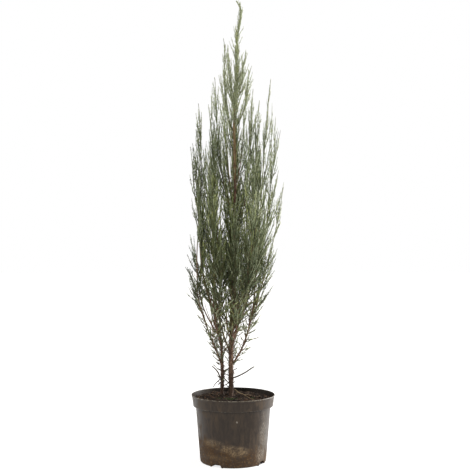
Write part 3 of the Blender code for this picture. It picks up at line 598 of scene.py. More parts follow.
# Barks and straw: the strips, the splits between them, the worn pale fibres and how many there are
BARKS = {
    "bark": ((0.092, 0.045, 0.027), (0.020, 0.010, 0.006), (0.56, 0.40, 0.28), 0.66),
    "young bark": ((0.215, 0.145, 0.072), (0.092, 0.046, 0.024), (0.42, 0.35, 0.19), 0.60),
    "leafy bark": ((0.205, 0.230, 0.105), (0.110, 0.125, 0.055), (0.36, 0.40, 0.24), 0.50),
    "brown twig": ((0.150, 0.086, 0.050), (0.070, 0.038, 0.022), (0.26, 0.19, 0.13), 0.40),
    "dead twig": ((0.088, 0.062, 0.044), (0.036, 0.024, 0.017), (0.24, 0.20, 0.16), 0.45),
    "green twig": ((0.085, 0.086, 0.036), (0.060, 0.054, 0.024), (0.17, 0.17, 0.09), 0.40),
    "straw": ((0.29, 0.22, 0.135), (0.15, 0.105, 0.06), (0.46, 0.37, 0.25), 0.50),
}

# Heights between which the bark's darker foot fades out
DARKER_BARK_FOOT = (0.190, 0.290)

# What lies in the pot: its dark, its light, its flecks and how many there are
CRUMBLY = {
    "potting mix": ((0.005, 0.003, 0.002), (0.024, 0.015, 0.010), (0.08, 0.052, 0.033), 0.45),
    "peat crumb": ((0.006, 0.004, 0.003), (0.022, 0.014, 0.009), (0.05, 0.034, 0.022), 0.25),
    "bark chip": ((0.030, 0.016, 0.009), (0.080, 0.046, 0.027), (0.16, 0.11, 0.07), 0.35),
    "pale chip": ((0.06, 0.046, 0.030), (0.12, 0.095, 0.068), (0.22, 0.18, 0.135), 0.30),
    "moss": ((0.011, 0.016, 0.006), (0.024, 0.032, 0.013), (0.05, 0.06, 0.028), 0.25),
    "light moss": ((0.020, 0.027, 0.011), (0.042, 0.052, 0.023), (0.085, 0.095, 0.045), 0.25),
}

# How far whips may reach outside the box of the solids and into the next plume's room, and their
# clearance from the bark, measured to one in some of each limb's rings
BOX_ALLOWANCE = 0.0045
ROOM_OVERLAPS = ((0.62, 0.024), (0.88, 0.005))
BARK_CLEARANCE = 0.0008
COARSE_STEP = 8

# The parting in front of the trunk, where its bark shows between the plumes
PARTING_LOW = 0.69
PARTING_HIGH = 0.905
PARTING_HALF_WIDTH = 0.0036
PARTING_PERIOD = 0.047
PARTING_OPEN = -0.45

# Openings where the sky shows: each one's middle (x, z), half its width and height, and how far it leans
OPENINGS = (
    (-0.0985, 0.580, 0.0070, 0.050, -0.12),
    (-0.0705, 0.404, 0.0100, 0.036, -0.19),
    (-0.0790, 0.905, 0.0050, 0.035, -0.10),
    (-0.0090, 0.800, 0.0035, 0.032, 0.0),
    (0.0190, 0.795, 0.0035, 0.024, 0.10),
)

# Crown outline: at each height, how far from the Z axis the foliage reaches on its left and on its right
CROWN_OUTLINE = (
    (0.20, 0.062, 0.062),
    (0.30, 0.066, 0.066),
    (0.36, 0.082, 0.072),
    (0.43, 0.124, 0.096),
    (0.48, 0.137, 0.118),
    (0.56, 0.126, 0.124),
    (0.66, 0.119, 0.130),
    (0.76, 0.118, 0.142),
    (0.84, 0.121, 0.130),
    (0.90, 0.113, 0.130),
    (0.96, 0.100, 0.112),
    (1.03, 0.064, 0.106),
    (1.08, 0.050, 0.062),
    (1.14, 0.032, 0.040),
    (1.25, 0.024, 0.024),
)
MOST_TRIANGLES = 190000

# Studio: the side lamp's place, the point it faces, its width and its power
SIDE_LAMP = ((2.1, 1.25, 0.7), (0, 0, 0.25), 1.6, 84)
# Broad light from far off: its bearing, its height above the horizon, its strength and its spread, in degrees
FAR_LIGHTS = {"right": (6, 32, 4.3, 26), "left": (158, 32, 2.0, 26), "front": (262, 40, 1.45, 30)}
LIGHT_COLOUR = (1.0, 0.975, 0.93)
WORLD_COLOUR = (1.0, 1.0, 1.0)
WORLD_STRENGTH = 0.26
BACKDROP_STRENGTH = 1.0
FLOOR_SIZE = 24.0
FLOOR_COLOUR = (0.28, 0.28, 0.28)
FLOOR_ROUGHNESS = 0.9
FLOOR_GLOW = 0.76
# Painted shade under the pot: the glow's colour there, the reaches from the Z axis over which it gives way to
# the full glow, and the x over which it fades in from the left
SHADED_GLOW = (0.03, 0.03, 0.03)
FLOOR_SHADE = (0.082, 0.088)
FLOOR_SHADE_SIDE = (-0.028, -0.015)
EXPOSURE = 0.0

# Seeds of the random draws, the plumes' first one and then one more for each
SEEDS = {"plumes": 100, "spurs": 7, "stubble": 17, "crumbs": 5, "litter": 9, "moss": 12}

UP = np.array((0.0, 0.0, 1.0))
FULL_TURN = 2 * math.pi


# Vectors and lines

def unit(vectors):
    return vectors / np.linalg.norm(vectors, axis=-1, keepdims=True)


def polar(bearing, reach, height):
    """The point at that bearing and reach from the Z axis."""
    angle = math.radians(bearing)
    return np.array((reach * math.cos(angle), reach * math.sin(angle), height))


def smooth_axis(points, count):
    """count points on the Catmull-Rom curve through points, evenly shared along it."""
    p = np.array(points, float)
    ends = np.vstack([2 * p[0] - p[1], p, 2 * p[-1] - p[-2]])
    place = np.linspace(0, len(p) - 1, count)
    span = np.minimum(place.astype(int), len(p) - 2)
    t = (place - span)[:, None]
    a, b, c, d = (ends[span + k] for k in range(4))
    bend, twist = 2 * a - 5 * b + 4 * c - d, 3 * b - a - 3 * c + d
    return b + 0.5 * ((c - a) * t + bend * t**2 + twist * t**3)


def lean_of(direction):
    """The angle in degrees between upright and a unit direction."""
    return math.degrees(math.acos(direction[2]))


def leaning(outward, degrees):
    """The direction that leans from upright towards outward, a level unit vector."""
    angle = math.radians(degrees)
    return outward * math.sin(angle) + UP * math.cos(angle)


def arching(start, end, leaves_at, end_lean, count):
    """count points from start to end that leave at one angle from upright and arrive at another."""
    outward = unit((end - start) * (1, 1, 0))
    reach = np.linalg.norm(end - start)
    t = np.linspace(0, 1, count)[:, None]
    first, last = leaning(outward, leaves_at) * reach, leaning(outward, end_lean) * reach
    return (
        (2 * t**3 - 3 * t**2 + 1) * start
        + (t**3 - 2 * t**2 + t) * first
        + (3 * t**2 - 2 * t**3) * end
        + (t**3 - t**2) * last
    )


def at_share(line, share):
    """The place at that share of a line of points."""
    place = np.asarray(share) * (len(line) - 1)
    low = np.clip(place.astype(int), 0, len(line) - 2)
    return line[low] + (line[low + 1] - line[low]) * (place - low)[..., None]


def length_of(line):
    return np.linalg.norm(np.diff(line, axis=0), axis=1).sum()


def square_to(directions):
    """Two unit vectors square to each direction and to each other."""
    aside = np.where(np.abs(directions[..., 2:]) < 0.9, UP, (1.0, 0.0, 0.0))
    side = unit(np.cross(directions, aside))
    return side, np.cross(directions, side)


def outward_of(along, turn):
    """Unit vectors square to each direction, turned round it by an angle."""
    across, other = square_to(along)
    turn = np.reshape(turn, (-1, 1))
    return across * np.cos(turn) + other * np.sin(turn)


def leant(along, outward, *leans):
    """For each array of angles, the directions that lean by them from along towards outward."""
    columns = [np.reshape(lean, (-1, 1)) for lean in leans]
    return [along * np.cos(lean) + outward * np.sin(lean) for lean in columns]


def heading_at(line, share, step):
    """The direction of a line at that share of it, taken over a step to both sides."""
    return unit(at_share(line, np.minimum(1, share + step)) - at_share(line, np.maximum(0, share - step)))


def read_off(table, at):
    """The values of a table of (place, value) rows at those places."""
    return np.interp(at, *zip(*table))


def ring_angles(sides):
    return np.arange(sides) * FULL_TURN / sides


# Meshes

def link(name, data, materials=()):
    """An object for that mesh, light or camera, placed in the scene with its materials."""
    for material in materials:
        data.materials.append(material)
    made = bpy.data.objects.new(name, data)
    bpy.context.scene.collection.objects.link(made)
    return made


def mesh_of(name, points, quads, triangles, quad_finish=None, triangle_finish=None):
    """A smooth mesh of arrays of points, quads and triangles, each face with its material's number."""
    quads, triangles = np.reshape(quads, (-1, 4)), np.reshape(triangles, (-1, 3))
    mesh = bpy.data.meshes.new(name)
    mesh.vertices.add(len(points))
    mesh.vertices.foreach_set("co", np.asarray(points, np.float32).ravel())
    mesh.loops.add(quads.size + triangles.size)
    corners = np.concatenate([quads.ravel(), triangles.ravel()])
    mesh.loops.foreach_set("vertex_index", corners.astype(np.int32))
    mesh.polygons.add(len(quads) + len(triangles))
    starts = np.concatenate([np.arange(len(quads)) * 4, quads.size + np.arange(len(triangles)) * 3])
    mesh.polygons.foreach_set("loop_start", starts.astype(np.int32))
    if quad_finish is not None:
        finish = np.concatenate([quad_finish, triangle_finish])
        mesh.polygons.foreach_set("material_index", finish.astype(np.int32))
    mesh.polygons.foreach_set("use_smooth", np.ones(len(starts), bool))
    mesh.update(calc_edges=True)
    return mesh


def ring_faces(rings, sides):
    """The quads between rings of points that follow each other."""
    ring, k = np.meshgrid(np.arange(rings - 1) * sides, np.arange(sides), indexing="ij")
    after = (k + 1) % sides
    return np.stack([ring + k, ring + after, ring + sides + after, ring + sides + k], -1).reshape(-1, 4)


def cap(first, sides, middle):
    """The triangles between the ring that starts at one point's number and another point."""
    k = np.arange(sides)
    return np.stack([first + k, first + (k + 1) % sides, np.full(sides, middle)], -1)


def end_caps(rings, sides):
    """The triangles that close rings at both ends, with the two points that follow theirs."""
    count = rings * sides
    return np.vstack([cap(0, sides, count)[:, (1, 0, 2)], cap(count - sides, sides, count + 1)])


def tube_points(line, radii, sides):
    """Rings of points square to a line, where radii may differ round each ring."""
    along = unit(np.gradient(line, axis=0))
    side = unit(np.cross(along[0], (0.31, 0.95, 0.02)))
    angles = ring_angles(sides)
    rings = []
    for point, direction, radius in zip(line, along, radii):
        side = unit(side - direction * np.dot(side, direction))
        around = np.outer(np.cos(angles), side) + np.outer(np.sin(angles), np.cross(direction, side))
        rings.append(point + np.reshape(radius, (-1, 1)) * around)
    return np.vstack(rings)


def cords(root, first, last, length, radius, profile, sides):
    """Many tapering cords that each bend from their first direction to their last.

    Returns their points and, for one cord after the other, the quads of their sides and the triangles
    of their tips. profile gives each ring's share of the length and its share of the radius.
    """
    count, rings = len(root), len(profile)
    across, _ = square_to(unit(first))
    points = np.empty((count, rings * sides + 1, 3))
    angles = ring_angles(sides)
    for ring, (t, full) in enumerate(profile):
        direction = unit(first + (last - first) * t)
        side = unit(across - direction * (across * direction).sum(1, keepdims=True))
        other = np.cross(direction, side)
        middle = root + length[:, None] * (first * t + (last - first) * t**2 / 2)
        around = np.cos(angles)[:, None] * side[:, None] + np.sin(angles)[:, None] * other[:, None]
        ring_points = middle[:, None] + (radius * full)[:, None, None] * around
        points[:, ring * sides : (ring + 1) * sides] = ring_points
    points[:, -1] = root + length[:, None] * (first + last) / 2
    each = (np.arange(count) * (rings * sides + 1))[:, None, None]
    quads = (ring_faces(rings, sides)[None] + each).reshape(-1, 4)
    tips = cap((rings - 1) * sides, sides, rings * sides)[None] + each
    return points.reshape(-1, 3), quads, tips.reshape(-1, 3)


class Heap:
    """Points and faces of many small shapes that become one mesh."""

    def __init__(self):
        self.points, self.quads, self.triangles = [], [], []
        self.quad_finish, self.triangle_finish = [], []
        self.count = 0

    def add(self, points, quads, triangles, finish=0):
        """finish is a material's number, or one for each shape, shared evenly over the faces."""
        quads, triangles = np.reshape(quads, (-1, 4)), np.reshape(triangles, (-1, 3))
        self.quads.append(quads + self.count)
        self.triangles.append(triangles + self.count)
        finish = np.atleast_1d(finish)
        shapes = max(1, len(finish))
        self.quad_finish.append(np.repeat(finish, len(quads) // shapes))
        self.triangle_finish.append(np.repeat(finish, len(triangles) // shapes))
        self.points.append(points)
        self.count += len(points)

    def join(self, other):
        self.points += other.points
        self.quads += [quads + self.count for quads in other.quads]
        self.triangles += [triangles + self.count for triangles in other.triangles]
        self.quad_finish += other.quad_finish
        self.triangle_finish += other.triangle_finish
        self.count += other.count

    def triangle_count(self):
        return sum(2 * len(quads) for quads in self.quads) + sum(len(tips) for tips in self.triangles)

    def piece(self, name, materials, slot):
        parts = [np.vstack(part) for part in (self.points, self.quads, self.triangles)]
        finishes = [np.concatenate(finish) for finish in (self.quad_finish, self.triangle_finish)]
        return on_root(link(name, mesh_of(name, *parts, *finishes), materials))


def on_root(piece):
    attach(piece, "root")
    return piece


# Limbs and the room of each plume

def stem_lines(spacing):
    """For each stem, its axis and radii with a ring at that spacing."""
    lines = {}
    for name, (points, girth) in STEMS.items():
        axis = smooth_axis(points, round((points[-1][2] - STEM_FOOT) / spacing) + 1)
        above = axis[:, 2] - axis[0, 2]
        radii = read_off(girth, axis[:, 2])
        flare = 1 + ROOT_FLARE * np.clip(1 - above / ROOT_FLARE_HEIGHT, 0, 1) ** 2
        lines[name] = (axis, radii * flare)
    return lines


def bough_lines(stems, rings):
    lines = {}
    for name, (stem, height, leaves_at, *end) in BOUGHS.items():
        start, stem_radius = at_height(stems[stem], height)
        root = min(stem_radius * BOUGH_ROOT_SHARE, BOUGH_ROOT_MOST)
        axis = arching(start, polar(*end), leaves_at, BOUGH_END_LEAN, rings)
        lines[name] = (axis, np.linspace(root, root * BOUGH_TIP_SHARE, rings))
    return lines


def axis_at(axis, heights, which=(0, 1)):
    """The x and the y of an axis at those heights."""
    return [np.interp(heights, axis[:, 2], axis[:, k]) for k in which]


def at_height(limb, height):
    """(point, radius) on a limb's axis at that height."""
    axis, radii = limb
    return np.array(axis_at(axis, height, (0, 1, 2))), float(np.interp(height, axis[:, 2], radii))


def plume_spines(limbs):
    """For each plume, its spine's points and its radius at the root."""
    spines = {}
    for name, (limb, height, *tip) in PLUMES.items():
        if height is None:
            axis, radii = limbs[limb]
            start, radius = axis[-1], float(radii[-1])
            leaves_at, ends_at = lean_of(unit(axis[-1] - axis[-2])), PLUME_LEAST_LEAN
        else:
            start, limb_radius = at_height(limbs[limb], height)
            radius = min(PLUME_ROOT_SHARE * limb_radius, PLUME_ROOT_MOST)
            chord = lean_of(unit(polar(*tip) - start))
            leaves_at = chord + PLUME_LEAVES_OUTWARD
            ends_at = max(PLUME_LEAST_LEAN, chord - PLUME_ENDS_UPRIGHT)
        spines[name] = (arching(start, polar(*tip), leaves_at, ends_at, SPINE_POINTS), radius)
    return spines


class Lines:
    """Lines of points with radii, and the distances from any point to each of them."""

    def __init__(self, lines):
        self.start = np.vstack([line[:-1] for line, _ in lines])
        self.step = np.vstack([np.diff(line, axis=0) for line, _ in lines])
        self.radius = np.concatenate([np.broadcast_to(radius, len(line))[:-1] for line, radius in lines])
        self.first = np.cumsum([0] + [len(line) - 1 for line, _ in lines[:-1]])
        self.step_squared = (self.step**2).sum(1)
        self.start_on_step = (self.start * self.step).sum(1)

    def to_segments(self, points):
        share = np.clip((points @ self.step.T - self.start_on_step) / self.step_squared, 0, 1)
        gap = points[:, None, :] - self.start - share[..., None] * self.step
        return np.sqrt((gap**2).sum(2))

    def distances(self, points):
        """A row for each point, with its distance to the axis of each line."""
        return np.minimum.reduceat(self.to_segments(points), self.first, axis=1)

    def clearances(self, points):
        """The least distance from each point to any line's surface."""
        return (self.to_segments(points) - self.radius).min(1)


class Space:
    """The room of each plume: nearer its own spine than any other, within the crown and off the bark."""

    def __init__(self, spines, limbs):
        self.spines = Lines(list(spines.values()))
        self.limbs = Lines(list(limbs.values()))
        self.trunk = limbs["main_stem"][0]

    def from_trunk(self, points):
        x, y = axis_at(self.trunk, points[:, 2])
        return np.hypot(points[:, 0] - x, points[:, 1] - y)

    def clear(self, points):
        """For each point, whether it is within the crown, out of the parting and off the bark."""
        x, y, z = points.T
        from_axis = np.hypot(x, y)
        heights, left, right = zip(*CROWN_OUTLINE)
        share = 0.5 + 0.5 * x / np.maximum(from_axis, 1e-6)
        outline = np.interp(z, heights, left) * (1 - share) + np.interp(z, heights, right) * share
        trunk_x, trunk_y = axis_at(self.trunk, z)
        parted = (z > PARTING_LOW) & (z < PARTING_HIGH) & (y < trunk_y)
        parted &= abs(x - trunk_x) < PARTING_HALF_WIDTH
        parted &= np.sin(FULL_TURN * z / PARTING_PERIOD) > PARTING_OPEN
        inside = (from_axis < outline) & (z < CAD_BOX[1][2]) & ~parted
        for aside, low, high in zip((x, y), *CAD_BOX):
            inside &= (aside > low - BOX_ALLOWANCE) & (aside < high + BOX_ALLOWANCE)
        for middle_x, middle_z, half_width, half_height, slope in OPENINGS:
            aside = (x - middle_x - slope * (z - middle_z)) / half_width
            inside &= aside**2 + ((z - middle_z) / half_height) ** 2 > 1
        return inside & (self.limbs.clearances(points) > BARK_CLEARANCE)

    def holds(self, number, points):
        """For each point, whether it is in the room of that plume."""
        far = self.spines.distances(points)
        own = far[:, number].copy()
        far[:, number] = np.inf
        overlap = read_off(ROOM_OVERLAPS, points[:, 2])
        return (far.min(1) > own - overlap) & self.clear(points)


# Bark

def strips(sides, rings, seed):
    """The relief of thin bark that splits into long strips, as a share from 0 to 1 round and along a limb."""
    draw = np.random.default_rng(seed)
    around = np.linspace(0, FULL_TURN, sides, endpoint=False)[None]
    along = np.linspace(0, rings * BARK_PITCH, rings)[:, None]
    relief = np.zeros((rings, sides))
    for turns in STRIP_WAVES:
        slant, phase, sway = (draw.uniform(*ends) for ends in (STRIP_SLANTS, STRIP_PHASES, STRIP_SWAYS))
        swaying = sway * np.sin(along * STRIP_SWAY_PITCH + phase)
        relief += (1 - np.abs(np.sin(turns * around + slant * along + phase + swaying))) / turns**0.5
    splits = np.sin(along * SPLIT_PITCH + SPLIT_SWAY * np.sin(2 * around + draw.uniform(*STRIP_PHASES)))
    return relief / relief.max() + SPLIT_RELIEF * np.maximum(splits, 0)


def bark_piece(name, line, sides, relief, seed, materials):
    """A limb with its bark in relief, capped at both ends."""
    axis, radii = line
    rings = len(axis)
    rough = radii[:, None] * (1 - relief / 2 + relief * strips(sides, rings, seed))
    points = np.vstack([tube_points(axis, rough, sides), axis[0], axis[-1]])
    young = np.searchsorted((YOUNG_BARK_HEIGHT, LEAFY_BARK_HEIGHT), axis[:-1, 2]).repeat(sides)
    ends = np.repeat((young[0], young[-1]), sides)
    mesh = mesh_of(name, points, ring_faces(rings, sides), end_caps(rings, sides), young, ends)
    barks = [materials[kind] for kind in ("bark", "young bark", "leafy bark")]
    piece = on_root(link("bark_of_" + name, mesh, barks))
    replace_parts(piece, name)


def build_bark(stems, boughs, materials):
    for limbs, (sides, relief, first_seed) in ((stems, STEM_BARK), (boughs, BOUGH_BARK)):
        for seed, (name, line) in enumerate(limbs.items(), first_seed):
            bark_piece(name, line, sides, relief, seed, materials)


# Foliage

def wandering(line, draw):
    """The line drawn in towards the trunk along its middle, with a slow sway, and its ends where they are."""
    t = np.linspace(0, 1, len(line))[:, None]
    sway = -SPINE_DRAWN_IN * line * (1, 1, 0) * np.sin(t * math.pi)
    for turns in (2, 3, 5):
        sway += np.sin(t * math.pi * turns) * draw.normal(0, SPINE_SWAY / turns, 3) * (1, 1, 0)
    return line + sway


def turned_up(directions, heights):
    """Directions turned towards upright, more so higher up."""
    share = read_off(WHIP_UPRIGHT, heights)[:, None]
    return unit(directions * (1 - share) + UP * share)


def on_bend(root, first, last, length, t):
    """The places at share t of cords that bend from one direction to another."""
    return root + length * (first * t + (last - first) * t**2 / 2)


def passing(test, shares, root, first, last, length):
    """For each bent cord, whether it passes a test at all of those shares of its length."""
    places = [on_bend(root, first, last, length[:, None], share) for share in shares]
    return test(np.vstack(places)).reshape(len(shares), -1).all(0)


def grow_whips(number, line, fullness, space, draw):
    """The whips of one plume that fit in its room: roots, first and last directions, and lengths."""
    length = length_of(line)
    count = max(WHIP_LEAST_COUNT, round(length / WHIP_SPACING))
    share = np.linspace(*WHIP_SHARES, count)
    root = at_share(line, share)
    kept = draw.uniform(0, 1, count) < fullness * read_off(WHIP_SHARES_KEPT, root[:, 2])
    kept |= (root[:, 2] > SPIRE_FOOT) & (space.from_trunk(root) < SPIRE_REACH)
    share, root, count = share[kept], root[kept], kept.sum()
    along = heading_at(line, share, WHIP_HEADING_STEP)
    long = read_off(WHIP_LENGTHS, root[:, 2]) * draw.uniform(*WHIP_LENGTH_DRAW, count)
    rest = np.maximum(WHIP_LEAST_LENGTH, length * (1 - share) * draw.uniform(*WHIP_REST_SHARES, count))
    long = np.minimum(np.minimum(long, length * WHIP_MOST_OF_SPINE), rest)
    lean = np.radians(read_off(WHIP_LEANS, root[:, 2]) * draw.uniform(*WHIP_LEAN_DRAW, count))
    end_lean = lean * draw.uniform(*WHIP_END_LEANS, count)
    turn = number + np.arange(count) * GOLDEN_TURN + draw.uniform(-WHIP_TURN_DRAW, WHIP_TURN_DRAW, count)
    grown = []
    w = np.arange(count)
    for _ in range(WHIP_TRIES):
        first, last = leant(along[w], outward_of(along[w], turn[w]), lean[w], end_lean[w])
        last = turned_up(last, root[w, 2])
        fits = passing(lambda places: space.holds(number, places), WHIP_TESTS, root[w], first, last, long[w])
        grown.append(np.hstack([root[w], first, last, long[w][:, None]])[fits])
        w = w[~fits]
        turn[w] += GOLDEN_TURN
        long[w] = np.maximum(WHIP_LEAST_LENGTH, long[w] * WHIP_SHORTENED)
        if not len(w):
            break
    return np.vstack(grown)


def grow_spurs(limb, space, draw):
    """The spurs of one limb that stay within the crown and off the bark."""
    axis = limb[0]
    length = length_of(axis)
    share = np.arange(SPUR_SPACING, length, SPUR_SPACING) / length
    more = np.arange(SPUR_SPACING / 4, length, SPUR_SPACING / 2) / length
    z = at_share(axis, more)[:, 2]
    share = np.concatenate([share, *(more[(z > low) & (z < high)] for low, high in CLOSE_SET)])
    z = at_share(axis, share)[:, 2]
    kept = (z > SPUR_LOW) & (draw.uniform(0, 1, len(z)) < read_off(SPUR_SHARES_KEPT, z))
    share, z = share[kept], z[kept]
    root, along, count = at_share(axis, share), heading_at(axis, share, SPUR_HEADING_STEP), len(z)
    turn = draw.uniform(0, FULL_TURN) + np.arange(count) * GOLDEN_TURN
    outward = outward_of(along, turn + draw.uniform(-SPUR_TURN_DRAW, SPUR_TURN_DRAW, count))
    lean = np.radians(read_off(SPUR_LEANS, z) * draw.uniform(*SPUR_LEAN_DRAW, count))
    end_lean = lean * draw.uniform(*SPUR_END_LEANS, count)
    to_front = (z > FRONT_COVER[0]) & (z < FRONT_COVER[1]) & (draw.uniform(0, 1, count) < FRONT_SHARE)
    outward[to_front, 1] = -np.abs(outward[to_front, 1])
    first, last = leant(along, outward, lean, end_lean)
    last = turned_up(last, z)
    long = read_off(SPUR_LENGTHS, z) * draw.uniform(*SPUR_LENGTH_DRAW, count)
    fits = passing(space.clear, SPUR_TESTS, root, first, last, long)
    return np.hstack([root, first, last, long[:, None]])[fits]


def placed_shoots(limbs, leafy):
    """The shoots placed one by one on those limbs that bear leaves, or those that bear none."""
    grown = []
    for name, leaves, shoots in PLACED_SHOOTS:
        if leaves != leafy or name not in limbs:
            continue
        for height, tip, bend in shoots:
            root = at_height(limbs[name], height)[0]
            long = np.linalg.norm(np.array(tip) - root)
            chord = (np.array(tip) - root) / long
            grown.append([*root, *(chord - UP * bend), *(chord + UP * bend), long])
    return np.array(grown)


def build_stubble(limbs, materials):
    """Dead stubs and flakes of bark that stand off the stems, and the placed shoots that bear no leaves."""
    draw = np.random.default_rng(SEEDS["stubble"])
    stubble = Heap()
    for name, low, high, stubs, flakes in STUBBLE:
        axis, radii = limbs[name]
        count = stubs + flakes
        stub = np.arange(count) < stubs
        z = draw.uniform(low, high, count)
        centre, ahead = (np.stack([*axis_at(axis, up), up], -1) for up in (z, z + STUBBLE_STEP))
        along = unit(ahead - centre)
        outward = outward_of(along, draw.uniform(0, FULL_TURN, count))
        foot = centre + outward * (np.interp(z, axis[:, 2], radii) - FLAKE_RADIUS)[:, None]
        lean = np.where(stub, draw.uniform(*STUB_LEANS, count), draw.uniform(*FLAKE_LEANS, count))
        way = np.where(stub, 1, draw.choice((-1, 1), count))[:, None]
        first = leant(way * along, outward, np.radians(lean))[0]
        last = unit(first + outward * np.where(stub, STUB_BEND, FLAKE_BEND)[:, None])
        length = np.where(stub, draw.uniform(*STUB_LENGTHS, count), draw.uniform(*FLAKE_LENGTHS, count))
        radius = np.where(stub, STUB_RADIUS, FLAKE_RADIUS) * draw.uniform(*STUBBLE_GIRTHS, count)
        stubble.add(*cords(foot, first, last, length, radius, WHIP_PROFILE, STUB_SIDES), np.where(stub, 0, 1))
    shoots = placed_shoots(limbs, False)
    radius = np.full(len(shoots), BARE_SHOOT_RADIUS)
    bare = cords(*parts_of(shoots), radius, WHIP_PROFILE, BARE_SHOOT_SIDES)
    stubble.add(*bare, np.zeros(len(shoots), int))
    stubble.piece("bark_flakes_and_stubs", [materials["dead twig"], materials["bark"]], "bark")


def side_cords(parents, spacing, shares, leans, end_lean, least, draw):
    """What stands round parent cords, from one share of them to another: roots, directions, parents, shares.

    parents is (roots, first directions, last directions, lengths), and leans is in degrees at their feet and
    tips.
    """
    root, first, last, long = parents
    low, high = shares
    each = np.maximum(least, np.round(long * (high - low) / spacing)).astype(int)
    parent = np.repeat(np.arange(len(root)), each)
    order = np.arange(len(parent)) - np.repeat(np.cumsum(each) - each, each)
    step = order + draw.uniform(*SIDE_STEPS, len(parent))
    t = (low + (high - low) * step / each[parent])[:, None]
    foot = on_bend(root[parent], first[parent], last[parent], long[parent][:, None], t)
    along = unit(first[parent] + (last - first)[parent] * t)
    outward = outward_of(along, draw.uniform(0, FULL_TURN, len(root))[parent] + order * GOLDEN_TURN)
    lean = np.radians(leans[0] + (leans[1] - leans[0]) * t) * draw.uniform(*SIDE_LEAN_DRAW, t.shape)
    begins, ends = leant(along, outward, lean, lean * end_lean)
    return foot, begins, ends, parent, t[:, 0]


def parts_of(whips):
    """The roots, first directions, last directions and lengths of whips."""
    return [whips[:, :3], whips[:, 3:6], whips[:, 6:9], whips[:, 9]]


def with_side_whips(whips, space, draw):
    """The whips and the finer whips that leave them, each shorter the nearer it is to its whip's tip."""
    foot, first, last, parent, t = side_cords(parts_of(whips), *SIDE_WHIPS, draw)
    last = turned_up(last, foot[:, 2])
    long = whips[parent, 9] * (1 - t) * draw.uniform(*SIDE_WHIP_REST, len(parent))
    long = np.clip(long, *SIDE_WHIP_LENGTHS)
    kept = passing(space.clear, (1.0,), foot, first, last, long)
    return np.vstack([whips, np.hstack([foot, first, last, long[:, None]])[kept]])


def deal_greens(tips, draw):
    """A green for each whip: paler high up and far out, warmer near the middle of the crown."""
    x, y, z = tips.T
    out = np.hypot(x, y) / CROWN_RADIUS
    # Partly the leaves' own tone, partly painted shade in the dense middle and painted light to the outside
    pale = read_off(PALE_AND_PAINTED_LIGHT_BY_HEIGHT, z) + PALE_AND_PAINTED_LIGHT_OUTWARD * out
    pale += read_off(PAINTED_LIGHT_IN_FRONT, z) * np.clip(-y / PAINTED_LIGHT_FRONT_REACH, 0, 1)
    pale += PAINTED_LIGHT_RIGHTWARD * x / CROWN_RADIUS + draw.normal(0, PALE_SPREAD, len(tips))
    shade = np.clip((pale * SHADES).astype(int), 0, SHADES - 1)
    warm = read_off(WARM_HEIGHTS, z) - WARM_INWARD * out + draw.normal(0, WARM_SPREAD)
    return np.where(warm > draw.uniform(0, 1, len(tips)), 0, SHADES) + shade


def dress_whips(main_whips, spine_line, space, draw):
    """The twiglets on whips and on the spine that carries them, and the whips' own stalks."""
    whips = with_side_whips(main_whips, space, draw)
    parents = parts_of(whips)
    full = np.clip(whips[:, 9] / FULL_WHIP, SMALL_WHIP_SHARE, 1.0)
    full[whips[:, 2] < LOW_WHIP_HEIGHT] = LOW_WHIP_SHARE
    tint = deal_greens(on_bend(*parents[:3], whips[:, 9:], 1.0), draw)
    spine_from = np.full(len(whips), np.nan)
    if spine_line is not None:
        steps = max(SPINE_LEAST_STEPS, round(length_of(spine_line) / SPINE_STEP))
        share = np.linspace(SPINE_LEAF_FROM, 1, steps + 1)
        points = at_share(spine_line, share)
        ahead = np.diff(points, axis=0)
        for entry, more in enumerate((points[:-1], unit(ahead), unit(ahead), np.linalg.norm(ahead, axis=1))):
            parents[entry] = np.concatenate([parents[entry], more])
        full = np.concatenate([full, np.ones(steps)])
        tint = np.concatenate([tint, np.full(steps, deal_greens(points[-1:], draw)[0])])
        spine_from = np.concatenate([spine_from, share[:-1]])
    foot, begins, ends, parent, t = side_cords(parents, *TWIGLETS, draw)
    place = np.where(np.isnan(spine_from[parent]), t, spine_from[parent] ** 3)
    size = read_off(TWIGLET_LENGTHS, place) * full[parent]
    size = size * draw.uniform(*TWIGLET_LENGTH_DRAW, len(parent)) * read_off(TWIGLET_SHORTER, foot[:, 2])
    kept = passing(space.clear, (1.0,), foot, begins, ends, size)
    foot, begins, ends, size, parent, place = (v[kept] for v in (foot, begins, ends, size, parent, place))
    paler = (place > PALE_TIP_SHARE) & (draw.uniform(0, 1, len(parent)) < PALE_TIPS)
    darker = (place < DARK_FOOT_SHARE) & (draw.uniform(0, 1, len(parent)) < DARK_FEET)
    row, shade = np.divmod(tint[parent], SHADES)
    shade = np.clip(shade + paler.astype(int) - darker.astype(int), 0, SHADES - 1)
    sprays, stalks = Heap(), Heap()
    thick = TWIGLET_RADIUS * np.clip(size / FULL_TWIGLET, *TWIGLET_GIRTHS)
    sprays.add(*cords(foot, begins, ends, size, thick, TWIGLET_PROFILE, 3), row * SHADES + shade)
    count = len(main_whips)
    brown_below = np.full(len(whips), GREEN_STALK_HEIGHT)
    if spine_line is None:
        brown_below[:count] = GREEN_SPUR_HEIGHT
    green = (whips[:, 2] + draw.normal(0, GREEN_STALK_SPREAD, len(whips)) > brown_below).astype(int)
    thick = WHIP_RADIUS * np.clip(main_whips[:, 9] / THICK_WHIP, *WHIP_GIRTHS)
    thick[main_whips[:, 2] < LOW_WHIP_HEIGHT] = LOW_STALK_RADIUS
    stalks.add(*cords(*parts_of(main_whips), thick, WHIP_PROFILE, 3), green[:count])
    thick = np.full(len(whips) - count, SIDE_WHIP_RADIUS)
    stalks.add(*cords(*parts_of(whips[count:]), thick, SIDE_WHIP_PROFILE, 3), green[count:])
    return sprays, stalks


